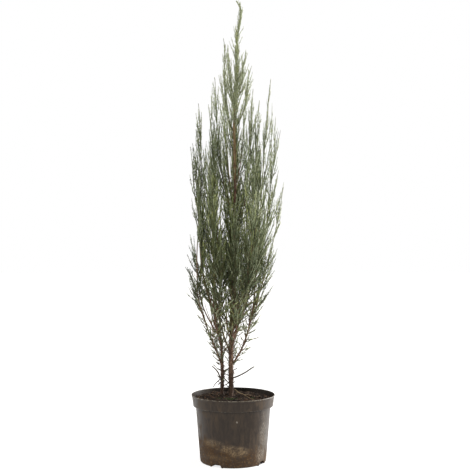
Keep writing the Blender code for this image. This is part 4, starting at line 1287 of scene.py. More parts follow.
def build_foliage(space, spines, limbs, materials):
    """The sprays of each plume and of each limb, and the twigs that carry them."""
    greens = [materials[name] for name in GREENS]
    twigs, sprays, names, made = Heap(), Heap(), [], 1
    lines = {}
    for number, (name, (spine, radius)) in enumerate(spines.items()):
        draw = np.random.default_rng(SEEDS["plumes"] + number)
        if name == "plume_leader":
            line = smooth_axis([spine[0], *LEADER_CROOK], SPINE_FINE_POINTS)
        else:
            line = wandering(at_share(spine, np.linspace(0, 1, SPINE_FINE_POINTS)), draw)
        lines[name] = (line, np.full(len(line), PLUME_TIP_RADIUS))
        whips = grow_whips(number, line, THIN_PLUMES.get(name, 1.0), space, draw)
        bare = name in BARE_TWIGS
        grown, stalks = dress_whips(whips[:0] if bare else whips, line, space, draw)
        if names and sprays.triangle_count() + grown.triangle_count() > MOST_TRIANGLES:
            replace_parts(sprays.piece(f"needle_sprays_{made}", greens, "needles"), *names)
            sprays, names, made = Heap(), [], made + 1
        sprays.join(grown)
        names.append(name)
        twigs.join(stalks)
        radii = np.linspace(*(BARE_TWIG_RADII if bare else (radius, PLUME_TIP_RADIUS)), len(line))
        z, far_along = line[:-1, 2], np.arange(len(line) - 1) > GREEN_SPINE_SHARE * len(line)
        green = (z > GREEN_STALK_HEIGHT) & (far_along | (z > GREEN_SPINE_HEIGHT))
        tube = tube_points(line, radii, STALK_SIDES), ring_faces(len(line), STALK_SIDES)
        twigs.add(*tube, (), np.repeat(green.astype(int) + 2 * bare, STALK_SIDES))
    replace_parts(sprays.piece(f"needle_sprays_{made}", greens, "needles"), *names)
    draw = np.random.default_rng(SEEDS["spurs"])
    of_stems = {name: limbs[name] for name in STEMS}
    of_stems["leader"] = lines.pop("plume_leader")
    of_boughs = {name: limbs[name] for name in BOUGHS}
    for name, bearers, others in (("stem_sprays", of_stems, {}), ("bough_sprays", of_boughs, lines)):
        spurs = [grow_spurs(limb, space, draw) for limb in bearers.values()]
        spurs = np.vstack([*spurs, placed_shoots({**bearers, **others}, True)])
        grown, stalks = dress_whips(spurs, None, space, draw)
        grown.piece(name, greens, "needles")
        twigs.join(stalks)
    twigs.piece("twigs", [materials[name] for name in ("brown twig", "green twig", "dead twig")], "bark")


# Pot

def arc(centre, radius, first, last, steps):
    """Points of a round corner in (radius, height)."""
    angles = np.radians(np.linspace(first, last, steps + 1))
    return [(centre[0] + radius * math.cos(a), centre[1] + radius * math.sin(a)) for a in angles]


def pot_profile():
    """The closed profile of the pot's wall: up the outside, over the rim and down the inside."""
    edge, wall, bevel = POT_EDGE_RADIUS, POT_WALL, POT_FOOT_BEVEL
    foot, body_top, band_top = POT_FOOT_RADIUS, POT_BODY_TOP_RADIUS, POT_RIM_RADIUS - POT_LIP_PROUD
    lip_foot = POT_HEIGHT - POT_LIP_HEIGHT
    outside = [(0.0, 0.0), (foot - bevel - 0.010, 0.0), *arc((foot - bevel, bevel), bevel, -90, 0, 6)]
    shares = np.linspace(0.1, 1, 12)
    outside += [(foot + (body_top - foot) * share, POT_BAND_FOOT * share) for share in shares]
    outside += arc((POT_BAND_FOOT_RADIUS - edge, POT_BAND_FOOT + edge), edge, -90, 0, 4)
    outside += [(band_top, lip_foot - 2 * edge), *arc((POT_RIM_RADIUS - edge, lip_foot), edge, -60, 0, 3)]
    outside += arc((POT_RIM_RADIUS - wall / 2, POT_HEIGHT - wall / 2), wall / 2, 0, 180, 8)
    inside = [(POT_BAND_FOOT_RADIUS - wall, POT_BAND_FOOT + wall), (body_top - wall, POT_BAND_FOOT + wall)]
    inside += [(foot - wall, POT_FLOOR + bevel), (foot - bevel - wall, POT_FLOOR), (0.0, POT_FLOOR)]
    return outside + inside


def outward(form, mesh):
    """Writes a form to a mesh with its faces turned outward."""
    bmesh.ops.recalc_face_normals(form, faces=form.faces)
    form.to_mesh(mesh)
    form.free()
    return mesh


def lathe(name, profile, segments):
    """The closed form turned by a profile of (radius, height) that begins and ends on the Z axis."""
    form = bmesh.new()
    vertices = [form.verts.new((radius, 0.0, height)) for radius, height in profile]
    line = vertices + [form.edges.new(pair) for pair in zip(vertices, vertices[1:])]
    about = {"axis": (0, 0, 1), "cent": (0, 0, 0), "angle": FULL_TURN}
    bmesh.ops.spin(form, geom=line, steps=segments, use_merge=True, **about)
    bmesh.ops.remove_doubles(form, verts=form.verts, dist=1e-6)
    return outward(form, bpy.data.meshes.new(name))


def radial_bar(name, azimuth, outline, inner, outer):
    """A bar with the given (sideways, height) outline that runs out from the Z axis."""
    out = polar(azimuth, 1.0, 0.0)
    side = np.cross(UP, out)
    count = len(outline)
    points = [out * far + side * x + UP * z for far in (inner, outer) for x, z in outline]
    faces = [tuple(range(count))[::-1], tuple(range(count, 2 * count))]
    faces += [(k, (k + 1) % count, count + (k + 1) % count, count + k) for k in range(count)]
    mesh = bpy.data.meshes.new(name)
    mesh.from_pydata([tuple(map(float, point)) for point in points], [], faces)
    form = bmesh.new()
    form.from_mesh(mesh)
    return outward(form, mesh)


def block_outline(half, low, high):
    return [(-half, low), (half, low), (half, high), (-half, high)]


def notch_bar(name, azimuth, grow, outer):
    """An arch-topped radial bar across the pot's foot, larger all round by grow."""
    half, top = NOTCH_WIDTH / 2 + grow, NOTCH_HEIGHT + grow
    shoulder = NOTCH_SHOULDER * top
    turns = [math.pi * step / NOTCH_ARC_STEPS for step in range(NOTCH_ARC_STEPS + 1)]
    arch = [(half * math.cos(turn), shoulder + (top - shoulder) * math.sin(turn)) for turn in turns]
    turns = np.linspace(0, math.pi / 2, NOTCH_FLARE_STEPS + 1)[1:]
    foot = [(half + NOTCH_FLARE * (1 - math.cos(turn)), shoulder * (1 - math.sin(turn))) for turn in turns]
    foot.append((half + NOTCH_FLARE, -NOTCH_HEIGHT))
    arch = arch + [(-x, z) for x, z in foot] + foot[::-1]
    return radial_bar(name, azimuth, arch, NOTCH_INNER_RADIUS - grow, outer)


def combine(target, name, operation, meshes):
    """Applies one Boolean between the target object and the meshes, and removes their objects."""
    others = bpy.data.collections.new(name)
    bpy.context.scene.collection.children.link(others)
    for mesh in meshes:
        others.objects.link(bpy.data.objects.new(name, mesh))
    boolean = target.modifiers.new(name, "BOOLEAN")
    boolean.operation, boolean.solver = operation, "MANIFOLD"
    boolean.operand_type, boolean.collection = "COLLECTION", others
    graph = bpy.context.evaluated_depsgraph_get()
    result = bpy.data.meshes.new_from_object(target.evaluated_get(graph))
    target.modifiers.clear()
    target.data = result
    for piece in list(others.objects):
        bpy.data.objects.remove(piece)
    bpy.data.collections.remove(others)


def build_pot(materials):
    """The pot: turned, with four notches and drain slits round its foot."""
    azimuths = [NOTCH_FIRST_AZIMUTH + k * 360 / NOTCH_COUNT for k in range(NOTCH_COUNT)]
    pot = link("nursery_pot", lathe("nursery_pot", pot_profile(), POT_SEGMENTS))
    rim, wide, within_wall = POT_RIM_RADIUS, 2 * POT_RIM_RADIUS, POT_FOOT_RADIUS - POT_WALL / 2
    drain = block_outline(DRAIN_WIDTH / 2, DRAIN_FOOT, DRAIN_TOP)
    below = block_outline(wide, -NOTCH_HEIGHT, 0.0)
    steps = (
        ("housings", "UNION", [notch_bar("housing", turn, POT_WALL, within_wall) for turn in azimuths]),
        ("notches", "DIFFERENCE", [notch_bar("notch", turn, 0.0, rim) for turn in azimuths]),
        ("drains", "DIFFERENCE", [radial_bar("drain", turn, drain, PLUG_RADIUS, rim) for turn in azimuths]),
        ("below", "DIFFERENCE", [radial_bar("below", 0, below, -wide, wide)]),
    )
    for step in steps:
        combine(pot, *step)
    pot.data.materials.clear()
    for kind in ("pot plastic", "pot inside"):
        pot.data.materials.append(materials[kind])
    for face in pot.data.polygons:
        middle = face.center
        facing = face.normal.x * middle.x + face.normal.y * middle.y
        if middle.z > POT_BAND_FOOT and facing < INSIDE_FACING * math.hypot(middle.x, middle.y):
            face.material_index = 1
    pot.data.shade_smooth()
    pot.data.set_sharp_from_angle(angle=math.radians(POT_SHARP_ANGLE))
    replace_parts(on_root(pot), "pot")


# Potting mix and what lies on it

def ripples(x, y, draw, waves, finest, coarsest):
    """A rough field over the plane from crossing waves, finer ones weaker, of about unit height."""
    field = np.zeros_like(x)
    for length in np.geomspace(coarsest, finest, waves):
        angle, phase = draw.uniform(0, FULL_TURN, 2)
        other, second = draw.uniform(0, FULL_TURN, 2)
        a = np.sin((x * math.cos(angle) + y * math.sin(angle)) * FULL_TURN / length + phase)
        b = np.sin((x * math.cos(other) + y * math.sin(other)) * FULL_TURN / length * CROSSING_PITCH + second)
        field += a * b * (length / coarsest) ** FINE_WAVES_FADE
    return field


def soil_edge():
    band, rim = (POT_BAND_FOOT_RADIUS, POT_BAND_FOOT), (POT_RIM_RADIUS, POT_HEIGHT)
    share = (SOIL_EDGE_HEIGHT - band[1]) / (rim[1] - band[1])
    return band[0] + (rim[0] - band[0]) * share - POT_WALL - SOIL_WALL_GAP


def soil_height(x, y):
    """The height of the mix: a plateau that falls to the wall, with mounds, hollows and crumbs."""
    out = np.clip((np.hypot(x, y) - SOIL_PLATEAU_RADIUS) / (soil_edge() - SOIL_PLATEAU_RADIUS), 0, 1)
    height = SOIL_EDGE_HEIGHT + (SOIL_PLATEAU_HEIGHT - SOIL_EDGE_HEIGHT) * (1 - out**2)
    draw = np.random.default_rng(SOIL_SEED)
    mounds = ripples(x, y, draw, *MOUND_WAVES) * SOIL_MOUND
    crumbs = np.abs(ripples(x, y, draw, *CRUMB_WAVES)) * SOIL_CRUMB
    for points, _ in STEMS.values():
        away = (x - points[0][0]) ** 2 + (y - points[0][1]) ** 2
        height = height + SOIL_COLLAR * np.exp(-(away / SOIL_COLLAR_REACH**2))
    return height + (mounds + crumbs) * np.clip((SOIL_CALM_RIM - out) * SOIL_CALM_RATE, SOIL_CALMEST, 1)


def build_soil(materials):
    """The mix as a closed form: its rough surface, then rings down inside the pot's wall to its floor."""
    radii = soil_edge() * np.sqrt(np.linspace(0, 1, SOIL_RINGS + 1)[1:])
    angles = ring_angles(SOIL_SEGMENTS)
    x, y = np.outer(radii, np.cos(angles)), np.outer(radii, np.sin(angles))
    inset = POT_WALL + SOIL_WALL_GAP
    ledge, floor = POT_BAND_FOOT + inset, POT_FLOOR + SOIL_WALL_GAP
    body, foot = POT_BODY_TOP_RADIUS - inset, POT_FOOT_RADIUS - inset
    below = [(POT_BAND_FOOT_RADIUS - inset, ledge), (body, ledge), (foot, 2 * NOTCH_HEIGHT)]
    below += [(PLUG_RADIUS, 1.5 * NOTCH_HEIGHT), (PLUG_RADIUS, floor)]
    rings = [*np.stack([x, y, soil_height(x, y)], -1)]
    for r, z in below:
        rings.append(np.stack([r * np.cos(angles), r * np.sin(angles), np.full(SOIL_SEGMENTS, z)], -1))
    middle = [(0, 0, soil_height(np.zeros(1), np.zeros(1))[0]), (0, 0, floor)]
    points = np.vstack([*(ring[::-1] for ring in rings), middle])
    faces = ring_faces(len(rings), SOIL_SEGMENTS), end_caps(len(rings), SOIL_SEGMENTS)
    mesh = mesh_of("potting_mix_surface", points, *faces)
    piece = link("potting_mix_surface", mesh, [materials["potting mix"]])
    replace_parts(on_root(piece), "potting_mix")


def lump(draw, size, flat):
    """The points and triangles of one small rough lump about the origin."""
    form = bmesh.new()
    bmesh.ops.create_icosphere(form, subdivisions=1, radius=1.0)
    points = np.array([vertex.co[:] for vertex in form.verts])
    triangles = np.array([[vertex.index for vertex in face.verts] for face in form.faces])
    form.free()
    points *= 1 + draw.uniform(-LUMP_ROUGHNESS, LUMP_ROUGHNESS, (len(points), 1))
    return points * np.array(size) * (1, 1, flat), triangles


def turned(points, draw):
    """The points turned about Z, then tilted a little."""
    angle, tilt = draw.uniform(0, FULL_TURN), draw.uniform(-LUMP_TILT, LUMP_TILT)
    c, s = math.cos(angle), math.sin(angle)
    points = points @ np.array(((c, s, 0), (-s, c, 0), (0, 0, 1)))
    c, s = math.cos(tilt), math.sin(tilt)
    return points @ np.array(((1, 0, 0), (0, c, s), (0, -s, c)))


def scatter_crumbs(materials):
    """Crumbs of peat, chips of bark and a few pale bits on the mix."""
    draw = np.random.default_rng(SEEDS["crumbs"])
    crumbs = Heap()
    edge = soil_edge() - CRUMB_EDGE_GAP
    for _ in range(CRUMB_COUNT):
        angle, out = draw.uniform(0, FULL_TURN), edge * math.sqrt(draw.uniform(0.0, 1))
        x, y = out * math.cos(angle), out * math.sin(angle)
        kind = draw.choice(3, p=CRUMB_SHARES)
        size = draw.uniform(*CRUMB_SIZES[kind])
        shape = (size * draw.uniform(1, CRUMB_STRETCH[kind]), size, size)
        points, triangles = lump(draw, shape, CRUMB_FLATNESS[kind])
        z = soil_height(np.array([x]), np.array([y]))[0]
        crumbs.add(turned(points, draw) + (x, y, z + size * CRUMB_LIFT), (), triangles, kind)
    finishes = [materials[name] for name in ("peat crumb", "bark chip", "pale chip")]
    crumbs.piece("crumbs_on_the_mix", finishes, "potting_mix")


def lay_litter(materials):
    """Straws and short fallen bits that lie on the mix."""
    draw = np.random.default_rng(SEEDS["litter"])
    litter = Heap()
    straws = list(STRAWS)
    for _ in range(LITTER_COUNT):
        angle, out = draw.uniform(0, FULL_TURN), soil_edge() * math.sqrt(draw.uniform(*LITTER_SPREAD))
        route = [np.array((out * math.cos(angle), out * math.sin(angle)))]
        heading = draw.uniform(0, FULL_TURN)
        for _ in range(LITTER_BENDS):
            heading += draw.normal(0, LITTER_TURN)
            step = draw.uniform(*LITTER_STEPS) * np.array((math.cos(heading), math.sin(heading)))
            route.append(route[-1] + step)
        if max(np.hypot(*point) for point in route) < soil_edge() - LITTER_EDGE_GAP:
            straws.append([(x, y, 0.0) for x, y in route])
    for index, route in enumerate(straws):
        long = index < len(STRAWS)
        flat = smooth_axis(route, STRAW_POINTS)
        flat[:, 2] = np.maximum(flat[:, 2], 0) + soil_height(flat[:, 0], flat[:, 1]) + LITTER_LIFT
        flat[1:-1, 2] = (flat[:-2, 2] + flat[1:-1, 2] + flat[2:, 2]) / 3 + LITTER_LIFT / 2
        radii = (STRAW_RADIUS if long else LITTER_RADIUS) * np.linspace(*STRAW_TAPER, STRAW_POINTS)
        tube = tube_points(flat, radii, STRAW_SIDES), ring_faces(STRAW_POINTS, STRAW_SIDES)
        litter.add(*tube, (), 0 if long else draw.integers(0, 2))
    litter.piece("straw_on_the_mix", [materials["straw"], materials["brown twig"]], "potting_mix")


def plant_moss(materials):
    """Cushions of moss: short blades that stand on the mix."""
    draw = np.random.default_rng(SEEDS["moss"])
    roots = []
    for x, y, reach, count in MOSS_PATCHES:
        away = reach * np.sqrt(draw.uniform(0, 1, count)) * draw.uniform(*MOSS_SPREAD, count)
        angle = draw.uniform(0, FULL_TURN, count)
        roots.append(np.stack([x + away * np.cos(angle) * MOSS_STRETCH, y + away * np.sin(angle)], -1))
    roots = np.vstack(roots)
    foot = np.column_stack([roots, soil_height(*roots.T) - MOSS_SINK])
    count = len(roots)
    first = unit(np.hstack([draw.normal(0, MOSS_LEAN, (count, 2)), np.ones((count, 1))]))
    last = unit(first + np.hstack([draw.normal(0, MOSS_BEND, (count, 2)), np.zeros((count, 1))]))
    height = draw.uniform(*MOSS_HEIGHT, count)
    moss = Heap()
    blades = cords(foot, first, last, height, np.full(count, MOSS_RADIUS), MOSS_PROFILE, 3)
    moss.add(*blades, draw.integers(0, 2, count))
    moss.piece("moss_on_the_mix", [materials["moss"], materials["light moss"]], "potting_mix")


# Finishes

def rgb(*colour):
    return (*colour, 1.0)


class Nodes:
    """Short calls that add nodes to one tree and join them up."""

    def __init__(self, tree):
        self.tree = tree

    def feed(self, target, value):
        if isinstance(value, bpy.types.NodeSocket):
            self.tree.links.new(value, target)
        else:
            target.default_value = value

    def node(self, kind, settings=(), **inputs):
        """A node with its settings, and with its named inputs fed."""
        node = self.tree.nodes.new("ShaderNode" + kind)
        for name, value in dict(settings).items():
            setattr(node, name, value)
        for label, value in inputs.items():
            self.feed(node.inputs[label.replace("_", " ")], value)
        return node

    def place(self, stretch=(1, 1, 1), shift=(0, 0, 0)):
        """Object coordinates, stretched and shifted."""
        coordinates = self.node("TexCoord").outputs["Object"]
        return self.node("Mapping", Vector=coordinates, Scale=stretch, Location=shift).outputs["Vector"]

    def noise(self, vector, scale, detail=4.0, roughness=0.55, distortion=0.0):
        fed = {"Vector": vector, "Scale": scale, "Detail": detail, "Roughness": roughness}
        return self.node("TexNoise", **fed, Distortion=distortion).outputs["Fac"]

    def cells(self, vector, scale):
        return self.node("TexVoronoi", Vector=vector, Scale=scale).outputs["Distance"]

    def math(self, operation, first, second=0.0, clamp=False):
        node = self.node("Math", {"operation": operation, "use_clamp": clamp})
        for entry, value in zip(node.inputs, (first, second)):
            self.feed(entry, value)
        return node.outputs[0]

    def times(self, first, second, clamp=False):
        return self.math("MULTIPLY", first, second, clamp)

    def vector(self, operation, first, second=(0, 0, 0)):
        node = self.node("VectorMath", {"operation": operation})
        for entry, value in zip(node.inputs, (first, second)):
            self.feed(entry, value)
        return node.outputs["Value" if operation == "LENGTH" else "Vector"]

    def between(self, value, low, high, to_low=0.0, to_high=1.0):
        """The value taken smoothly from one range to another."""
        ranges = {"From Min": low, "From Max": high, "To Min": to_low, "To Max": to_high}
        smooth = {"interpolation_type": "SMOOTHSTEP"}
        return self.node("MapRange", smooth, Value=value, **ranges).outputs["Result"]

    def mix(self, share, first, second):
        node = self.node("Mix", {"data_type": "RGBA"})
        colours = [entry for entry in node.inputs if entry.type == "RGBA"]
        for entry, value in zip((node.inputs[0], *colours), (share, first, second)):
            self.feed(entry, value)
        return next(entry for entry in node.outputs if entry.type == "RGBA")

    def axis(self, vector, which):
        return self.node("SeparateXYZ", Vector=vector).outputs[which]


COLOUR, NUMBER = "NodeSocketColor", "NodeSocketFloat"
EFFECT_OUTPUTS = {"Color": COLOUR, "Roughness": NUMBER, "Height": NUMBER}


def effect(name, inputs):
    """A shader node group: its nodes, its inputs, each a named colour or number, and its outputs."""
    tree = bpy.data.node_groups.new(name, "ShaderNodeTree")
    for label, value in inputs.items():
        colour = isinstance(value, tuple)
        kind = COLOUR if colour else NUMBER
        made = tree.interface.new_socket(name=label, in_out="INPUT", socket_type=kind)
        made.default_value = rgb(*value) if colour else value
    for label, kind in EFFECT_OUTPUTS.items():
        tree.interface.new_socket(name=label, in_out="OUTPUT", socket_type=kind)
    return Nodes(tree), tree.nodes.new("NodeGroupInput").outputs, tree.nodes.new("NodeGroupOutput").inputs


def give(nodes, out, *values):
    """Feeds an effect's colour, roughness and height."""
    for label, value in zip(EFFECT_OUTPUTS, values):
        nodes.feed(out[label], value)
    return nodes.tree


def leaf_scales():
    """Scale leaves with a grey bloom: mottled along the cords, with a slow drift of hue through the crown."""
    greens = {"Green": (0.1, 0.12, 0.07), "Bloom": (0.3, 0.34, 0.28), "Bloom Share": 0.3}
    nodes, given, out = effect("leaf scales", greens)
    place = nodes.place()
    fine, drift = nodes.noise(place, 700.0, 2.0), nodes.noise(place, 22.0, 3.0)
    bloom = nodes.times(nodes.between(fine, 0.42, 0.66), given["Bloom Share"])
    bloom = nodes.times(bloom, nodes.between(drift, 0.3, 0.7, 0.5, 1.4), True)
    scales = nodes.cells(nodes.place((1, 1, 0.5)), 900.0)
    rough = nodes.between(fine, 0.3, 0.7, 0.62, 0.80)
    return give(nodes, out, nodes.mix(bloom, given["Green"], given["Bloom"]), rough, scales)


def bark_strips():
    """Thin bark that peels in long strips: the strips' colour, the darker splits between them, and relief."""
    browns = {"Strip": (0.16, 0.10, 0.07), "Split": (0.05, 0.03, 0.02), "Worn": (0.30, 0.26, 0.20)}
    nodes, given, out = effect("bark strips", {**browns, "Worn Share": 0.4})
    fibres = nodes.noise(nodes.place((1, 1, 0.07)), 1100.0, 5.0, 0.6, 0.6)
    plates = nodes.noise(nodes.place((1, 1, 0.18)), 320.0, 4.0, 0.6, 1.0)
    areas = nodes.noise(nodes.place((1, 1, 0.5)), 60.0, 3.0)
    split = nodes.between(plates, 0.36, 0.50, 1.0, 0.0)
    worn = nodes.times(nodes.between(fibres, 0.48, 0.66), given["Worn Share"])
    worn = nodes.times(worn, nodes.between(areas, 0.35, 0.65, 0.3, 1.5), True)
    colour = nodes.mix(worn, given["Strip"], given["Worn"])
    darker_foot = nodes.between(nodes.axis(nodes.place(), "Z"), *DARKER_BARK_FOOT, 0.75, 0.0)
    colour = nodes.mix(nodes.math("MAXIMUM", split, darker_foot), colour, given["Split"])
    rough = nodes.between(plates, 0.3, 0.7, 0.72, 0.92)
    return give(nodes, out, colour, rough, nodes.math("ADD", plates, nodes.times(fibres, 0.4)))


def crumbly():
    """Crumbs of peat: mottled colour with pale flecks, and relief."""
    browns = {"Dark": (0.02, 0.015, 0.01), "Light": (0.09, 0.07, 0.05), "Fleck": (0.25, 0.2, 0.14)}
    nodes, given, out = effect("crumbly", {**browns, "Fleck Share": 0.5})
    place = nodes.place()
    grains, clods = nodes.noise(place, 420.0, 6.0, 0.7), nodes.noise(place, 90.0, 3.0)
    flecks = nodes.between(nodes.cells(nodes.place((1, 1, 1), (3, 1, 2)), 210.0), 0.16, 0.10)
    colour = nodes.mix(nodes.between(nodes.times(grains, clods), 0.15, 0.36), given["Dark"], given["Light"])
    colour = nodes.mix(nodes.times(flecks, given["Fleck Share"]), colour, given["Fleck"])
    return give(nodes, out, colour, nodes.between(clods, 0.3, 0.7, 0.85, 0.98), grains)


def finish(name, look, values, bump, distance, specular):
    """A Principled material fed by one effect with its own values."""
    made = bpy.data.materials.new(name)
    made.use_nodes = True
    nodes = Nodes(made.node_tree)
    shader = nodes.tree.nodes["Principled BSDF"]
    values = {label: rgb(*value) if isinstance(value, tuple) else value for label, value in values.items()}
    source = nodes.node("Group", {"node_tree": look}, **values).outputs
    relief = nodes.node("Bump", Strength=bump, Distance=distance, Height=source["Height"]).outputs["Normal"]
    fed = {"Base Color": source["Color"], "Roughness": source["Roughness"], "Normal": relief}
    for label, value in {**fed, "Specular IOR Level": specular}.items():
        nodes.feed(shader.inputs[label], value)
    return made


def patches(nodes, place, marks):
    """How strongly patches show, each fading out from its middle over its reach."""
    shown = None
    for middle, reach, strength in marks:
        aside = nodes.vector("DIVIDE", nodes.vector("SUBTRACT", place, middle), reach)
        patch = nodes.between(nodes.vector("LENGTH", aside), *PATCH_FADE, strength, 0.0)
        shown = patch if shown is None else nodes.math("MAXIMUM", shown, patch)
    return shown


def pot_plastic():
    """Dark moulded plastic with a dusty film that thickens into a painted sheen towards its sides, worn edges
    with a painted highlight, dirt that has dried on its lower part, and painted shade under the band.
    """
    nodes, given, out = effect("dusty plastic", dict(zip(POT_MARKS, POT_COLOURS)))
    place = nodes.place()
    height, sideways = nodes.axis(place, "Z"), nodes.axis(place, "X")
    blotches = nodes.noise(nodes.place((1, 1, 0.7)), 46.0, 7.0, 0.68, 0.5)
    grit = nodes.noise(place, 210.0, 5.0, 0.65)
    runs = nodes.noise(nodes.place((1, 1, 0.30)), 95.0, 5.0, 0.65, 0.4)
    film = nodes.noise(place, 13.0, 3.0)

    def broken(shares):
        """How far the grit and the blotches let a mark show."""
        return nodes.times(*(nodes.between(noise, *share) for noise, share in zip((grit, blotches), shares)))

    dust_and_side_sheen = nodes.times(nodes.between(runs, 0.36, 0.72), nodes.between(film, 0.35, 0.70, 0.25, 0.8))
    # Thicker towards the sides: a painted sheen on the pot's edges
    dust_and_side_sheen = nodes.times(dust_and_side_sheen, nodes.between(nodes.math("ABSOLUTE", sideways), 0.02, 0.10, 0.8, 1.8), True)
    colour = nodes.mix(dust_and_side_sheen, given["Plastic"], given["Dust"])
    # A light line along the band's rounded foot, a painted highlight, and the lip's top, worn and a painted
    # highlight
    below_band = nodes.math("ABSOLUTE", nodes.math("SUBTRACT", height, POT_BAND_FOOT))
    band = nodes.between(below_band, 0.0004, BAND_HIGHLIGHT, 0.6, 0.0)
    edges = nodes.math("MAXIMUM", nodes.between(height, LIP_WEAR_AND_HIGHLIGHT_FROM, POT_HEIGHT), band)
    worn = nodes.times(edges, nodes.between(grit, 0.42, 0.62, 0.05, 0.75))
    colour = nodes.mix(worn, colour, given["Chalk"])
    edge = nodes.math("ADD", height, nodes.times(nodes.math("SUBTRACT", blotches, 0.5), DIRT_EDGE_SWAY))
    edge = nodes.math("ADD", edge, nodes.times(sideways, DIRT_EDGE_FALL))
    low = nodes.between(edge, *DIRT_EDGE, 1.0, 0.0)
    dirt = nodes.times(low, broken(DIRT_BREAKS))
    colour = nodes.mix(dirt, colour, given["Dirt"])
    spots = nodes.times(nodes.between(grit, 0.52, 0.68, 0, 0.34), low)
    stain = nodes.times(patches(nodes, place, STAINS), broken(STAIN_BREAKS))
    colour = nodes.mix(nodes.math("MAXIMUM", stain, spots, True), colour, given["Stain"])
    # The chalky marks, the one up the right side also a painted sheen
    chalk_and_sheen = nodes.times(patches(nodes, place, CHALK_AND_SHEEN_MARKS), broken(CHALK_AND_SHEEN_BREAKS), True)
    colour = nodes.mix(chalk_and_sheen, colour, given["Chalk"])
    # Painted shade in the crease just under the band
    foot = POT_BAND_FOOT
    painted_band_shade = nodes.between(height, foot - PAINTED_BAND_SHADE_REACH, foot - PAINTED_BAND_SHADE_REACH / 3, 0.0, PAINTED_BAND_SHADE_SHARE)
    painted_band_shade = nodes.times(painted_band_shade, nodes.between(height, foot, foot + 0.0003, 1.0, 0.0))
    colour = nodes.mix(painted_band_shade, colour, rgb(*PAINTED_BAND_SHADE_COLOUR))
    marks = nodes.math("MAXIMUM", nodes.math("ADD", dirt, nodes.times(dust_and_side_sheen, 0.75), True), painted_band_shade)
    rough = nodes.between(marks, 0.0, 0.9, 0.34, 0.95)
    return give(nodes, out, colour, rough, nodes.math("ADD", grit, nodes.times(dirt, 0.5)))


def make_materials():
    """Every material by its name: each kind's effect, input names, values, bump, its depth, and sheen."""
    plastic = pot_plastic()
    kinds = (
        (leaf_scales(), ("Green", "Bloom", "Bloom Share"), GREENS, 0.25, 0.0004, 0.15),
        (bark_strips(), ("Strip", "Split", "Worn", "Worn Share"), BARKS, 0.6, 0.0008, 0.3),
        (crumbly(), ("Dark", "Light", "Fleck", "Fleck Share"), CRUMBLY, 0.7, 0.0012, 0.12),
        (plastic, POT_MARKS, {"pot plastic": POT_COLOURS}, 0.2, 0.0006, 0.3),
        (plastic, POT_MARKS, {"pot inside": POT_INSIDE_COLOURS}, 0.2, 0.0006, 0.07),
    )
    made = {}
    for look, labels, table, *relief_and_sheen in kinds:
        for name, values in table.items():
            made[name] = finish(name, look, dict(zip(labels, values)), *relief_and_sheen)
    return made


# Studio

def lamp(name, kind, power, faces, place=(0, 0, 0)):
    """A light of a kind and power at a place, turned the way that a direction faces."""
    light = bpy.data.lights.new(name, kind)
    light.energy = power
    made = link(name, light)
    made.location = place
    made.rotation_euler = faces.to_euler()
    return light


def set_lights():
    place, aim, size, power = SIDE_LAMP
    light = lamp("right side", "AREA", power, (Vector(aim) - Vector(place)).to_track_quat("-Z", "Y"), place)
    light.shape, light.size = "DISK", size
    for name, (bearing, elevation, strength, spread) in FAR_LIGHTS.items():
        up = math.radians(elevation)
        toward = Vector(polar(bearing, math.cos(up), math.sin(up)))
        light = lamp(name, "SUN", strength, toward.to_track_quat("Z", "Y"))
        light.angle, light.color = math.radians(spread), LIGHT_COLOUR


def set_camera(scene):
    lens = bpy.data.cameras.new("camera")
    lens.sensor_width = SENSOR_WIDTH
    lens.lens = FOCAL_PIXELS / PHOTO_WIDTH * SENSOR_WIDTH
    scene.camera = link("camera", lens)
    scene.camera.location = CAMERA_PLACE
    scene.camera.rotation_euler = (math.radians(90), 0, 0)


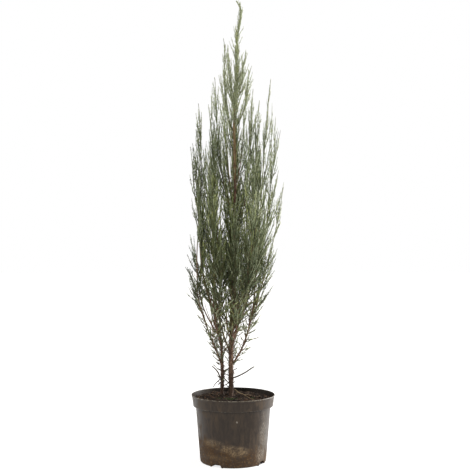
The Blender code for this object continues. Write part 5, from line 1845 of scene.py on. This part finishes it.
def set_backdrop(scene):
    """A world that lights the plant softly, and that the camera sees as white."""
    scene.world = bpy.data.worlds.new("studio")
    scene.world.use_nodes = True
    tree = scene.world.node_tree
    lit, seen = tree.nodes["Background"], tree.nodes.new("ShaderNodeBackground")
    for shade, strength in ((lit, WORLD_STRENGTH), (seen, BACKDROP_STRENGTH)):
        shade.inputs["Color"].default_value = rgb(*WORLD_COLOUR)
        shade.inputs["Strength"].default_value = strength
    either, path = tree.nodes.new("ShaderNodeMixShader"), tree.nodes.new("ShaderNodeLightPath")
    for entry, output in zip(either.inputs, (path.outputs["Is Camera Ray"], lit.outputs[0], seen.outputs[0])):
        tree.links.new(output, entry)
    tree.links.new(either.outputs[0], tree.nodes["World Output"].inputs["Surface"])


def lay_floor():
    """A pale floor with its own glow, which fades under the pot and beside it into a painted shade."""
    sheet = bpy.data.meshes.new("floor")
    corners = block_outline(FLOOR_SIZE / 2, -FLOOR_SIZE / 2, FLOOR_SIZE / 2)
    sheet.from_pydata([(x, y, 0) for x, y in corners], [], [(0, 1, 2, 3)])
    pale = bpy.data.materials.new("pale floor")
    pale.use_nodes = True
    nodes = Nodes(pale.node_tree)
    beside_pot = nodes.between(nodes.vector("LENGTH", nodes.place()), *FLOOR_SHADE)
    to_left = nodes.between(nodes.axis(nodes.place(), "X"), *FLOOR_SHADE_SIDE, 1.0, 0.0)
    glow = nodes.mix(nodes.math("MAXIMUM", beside_pot, to_left), rgb(*SHADED_GLOW), rgb(1, 1, 1))
    fed = {"Base Color": rgb(*FLOOR_COLOUR), "Roughness": FLOOR_ROUGHNESS, "Emission Color": glow}
    for label, value in {**fed, "Emission Strength": FLOOR_GLOW}.items():
        nodes.feed(pale.node_tree.nodes["Principled BSDF"].inputs[label], value)
    floor = link("floor", sheet, [pale])


def set_studio():
    scene = bpy.context.scene
    set_camera(scene)
    set_backdrop(scene)
    lay_floor()
    set_lights()
    scene.view_settings.view_transform = "Standard"
    scene.view_settings.look = "None"
    scene.view_settings.exposure = EXPOSURE


def main():
    set_studio()
    materials = make_materials()
    build_pot(materials)
    build_soil(materials)
    scatter_crumbs(materials)
    lay_litter(materials)
    plant_moss(materials)
    stems = stem_lines(BARK_RING_SPACING)
    boughs = bough_lines(stems, BOUGH_RINGS)
    build_bark(stems, boughs, materials)
    limbs = {**stems, **boughs}
    coarse = {name: (axis[::COARSE_STEP], radii[::COARSE_STEP]) for name, (axis, radii) in limbs.items()}
    spines = plume_spines(limbs)
    build_foliage(Space(spines, coarse), spines, limbs, materials)
    build_stubble(limbs, materials)


main()
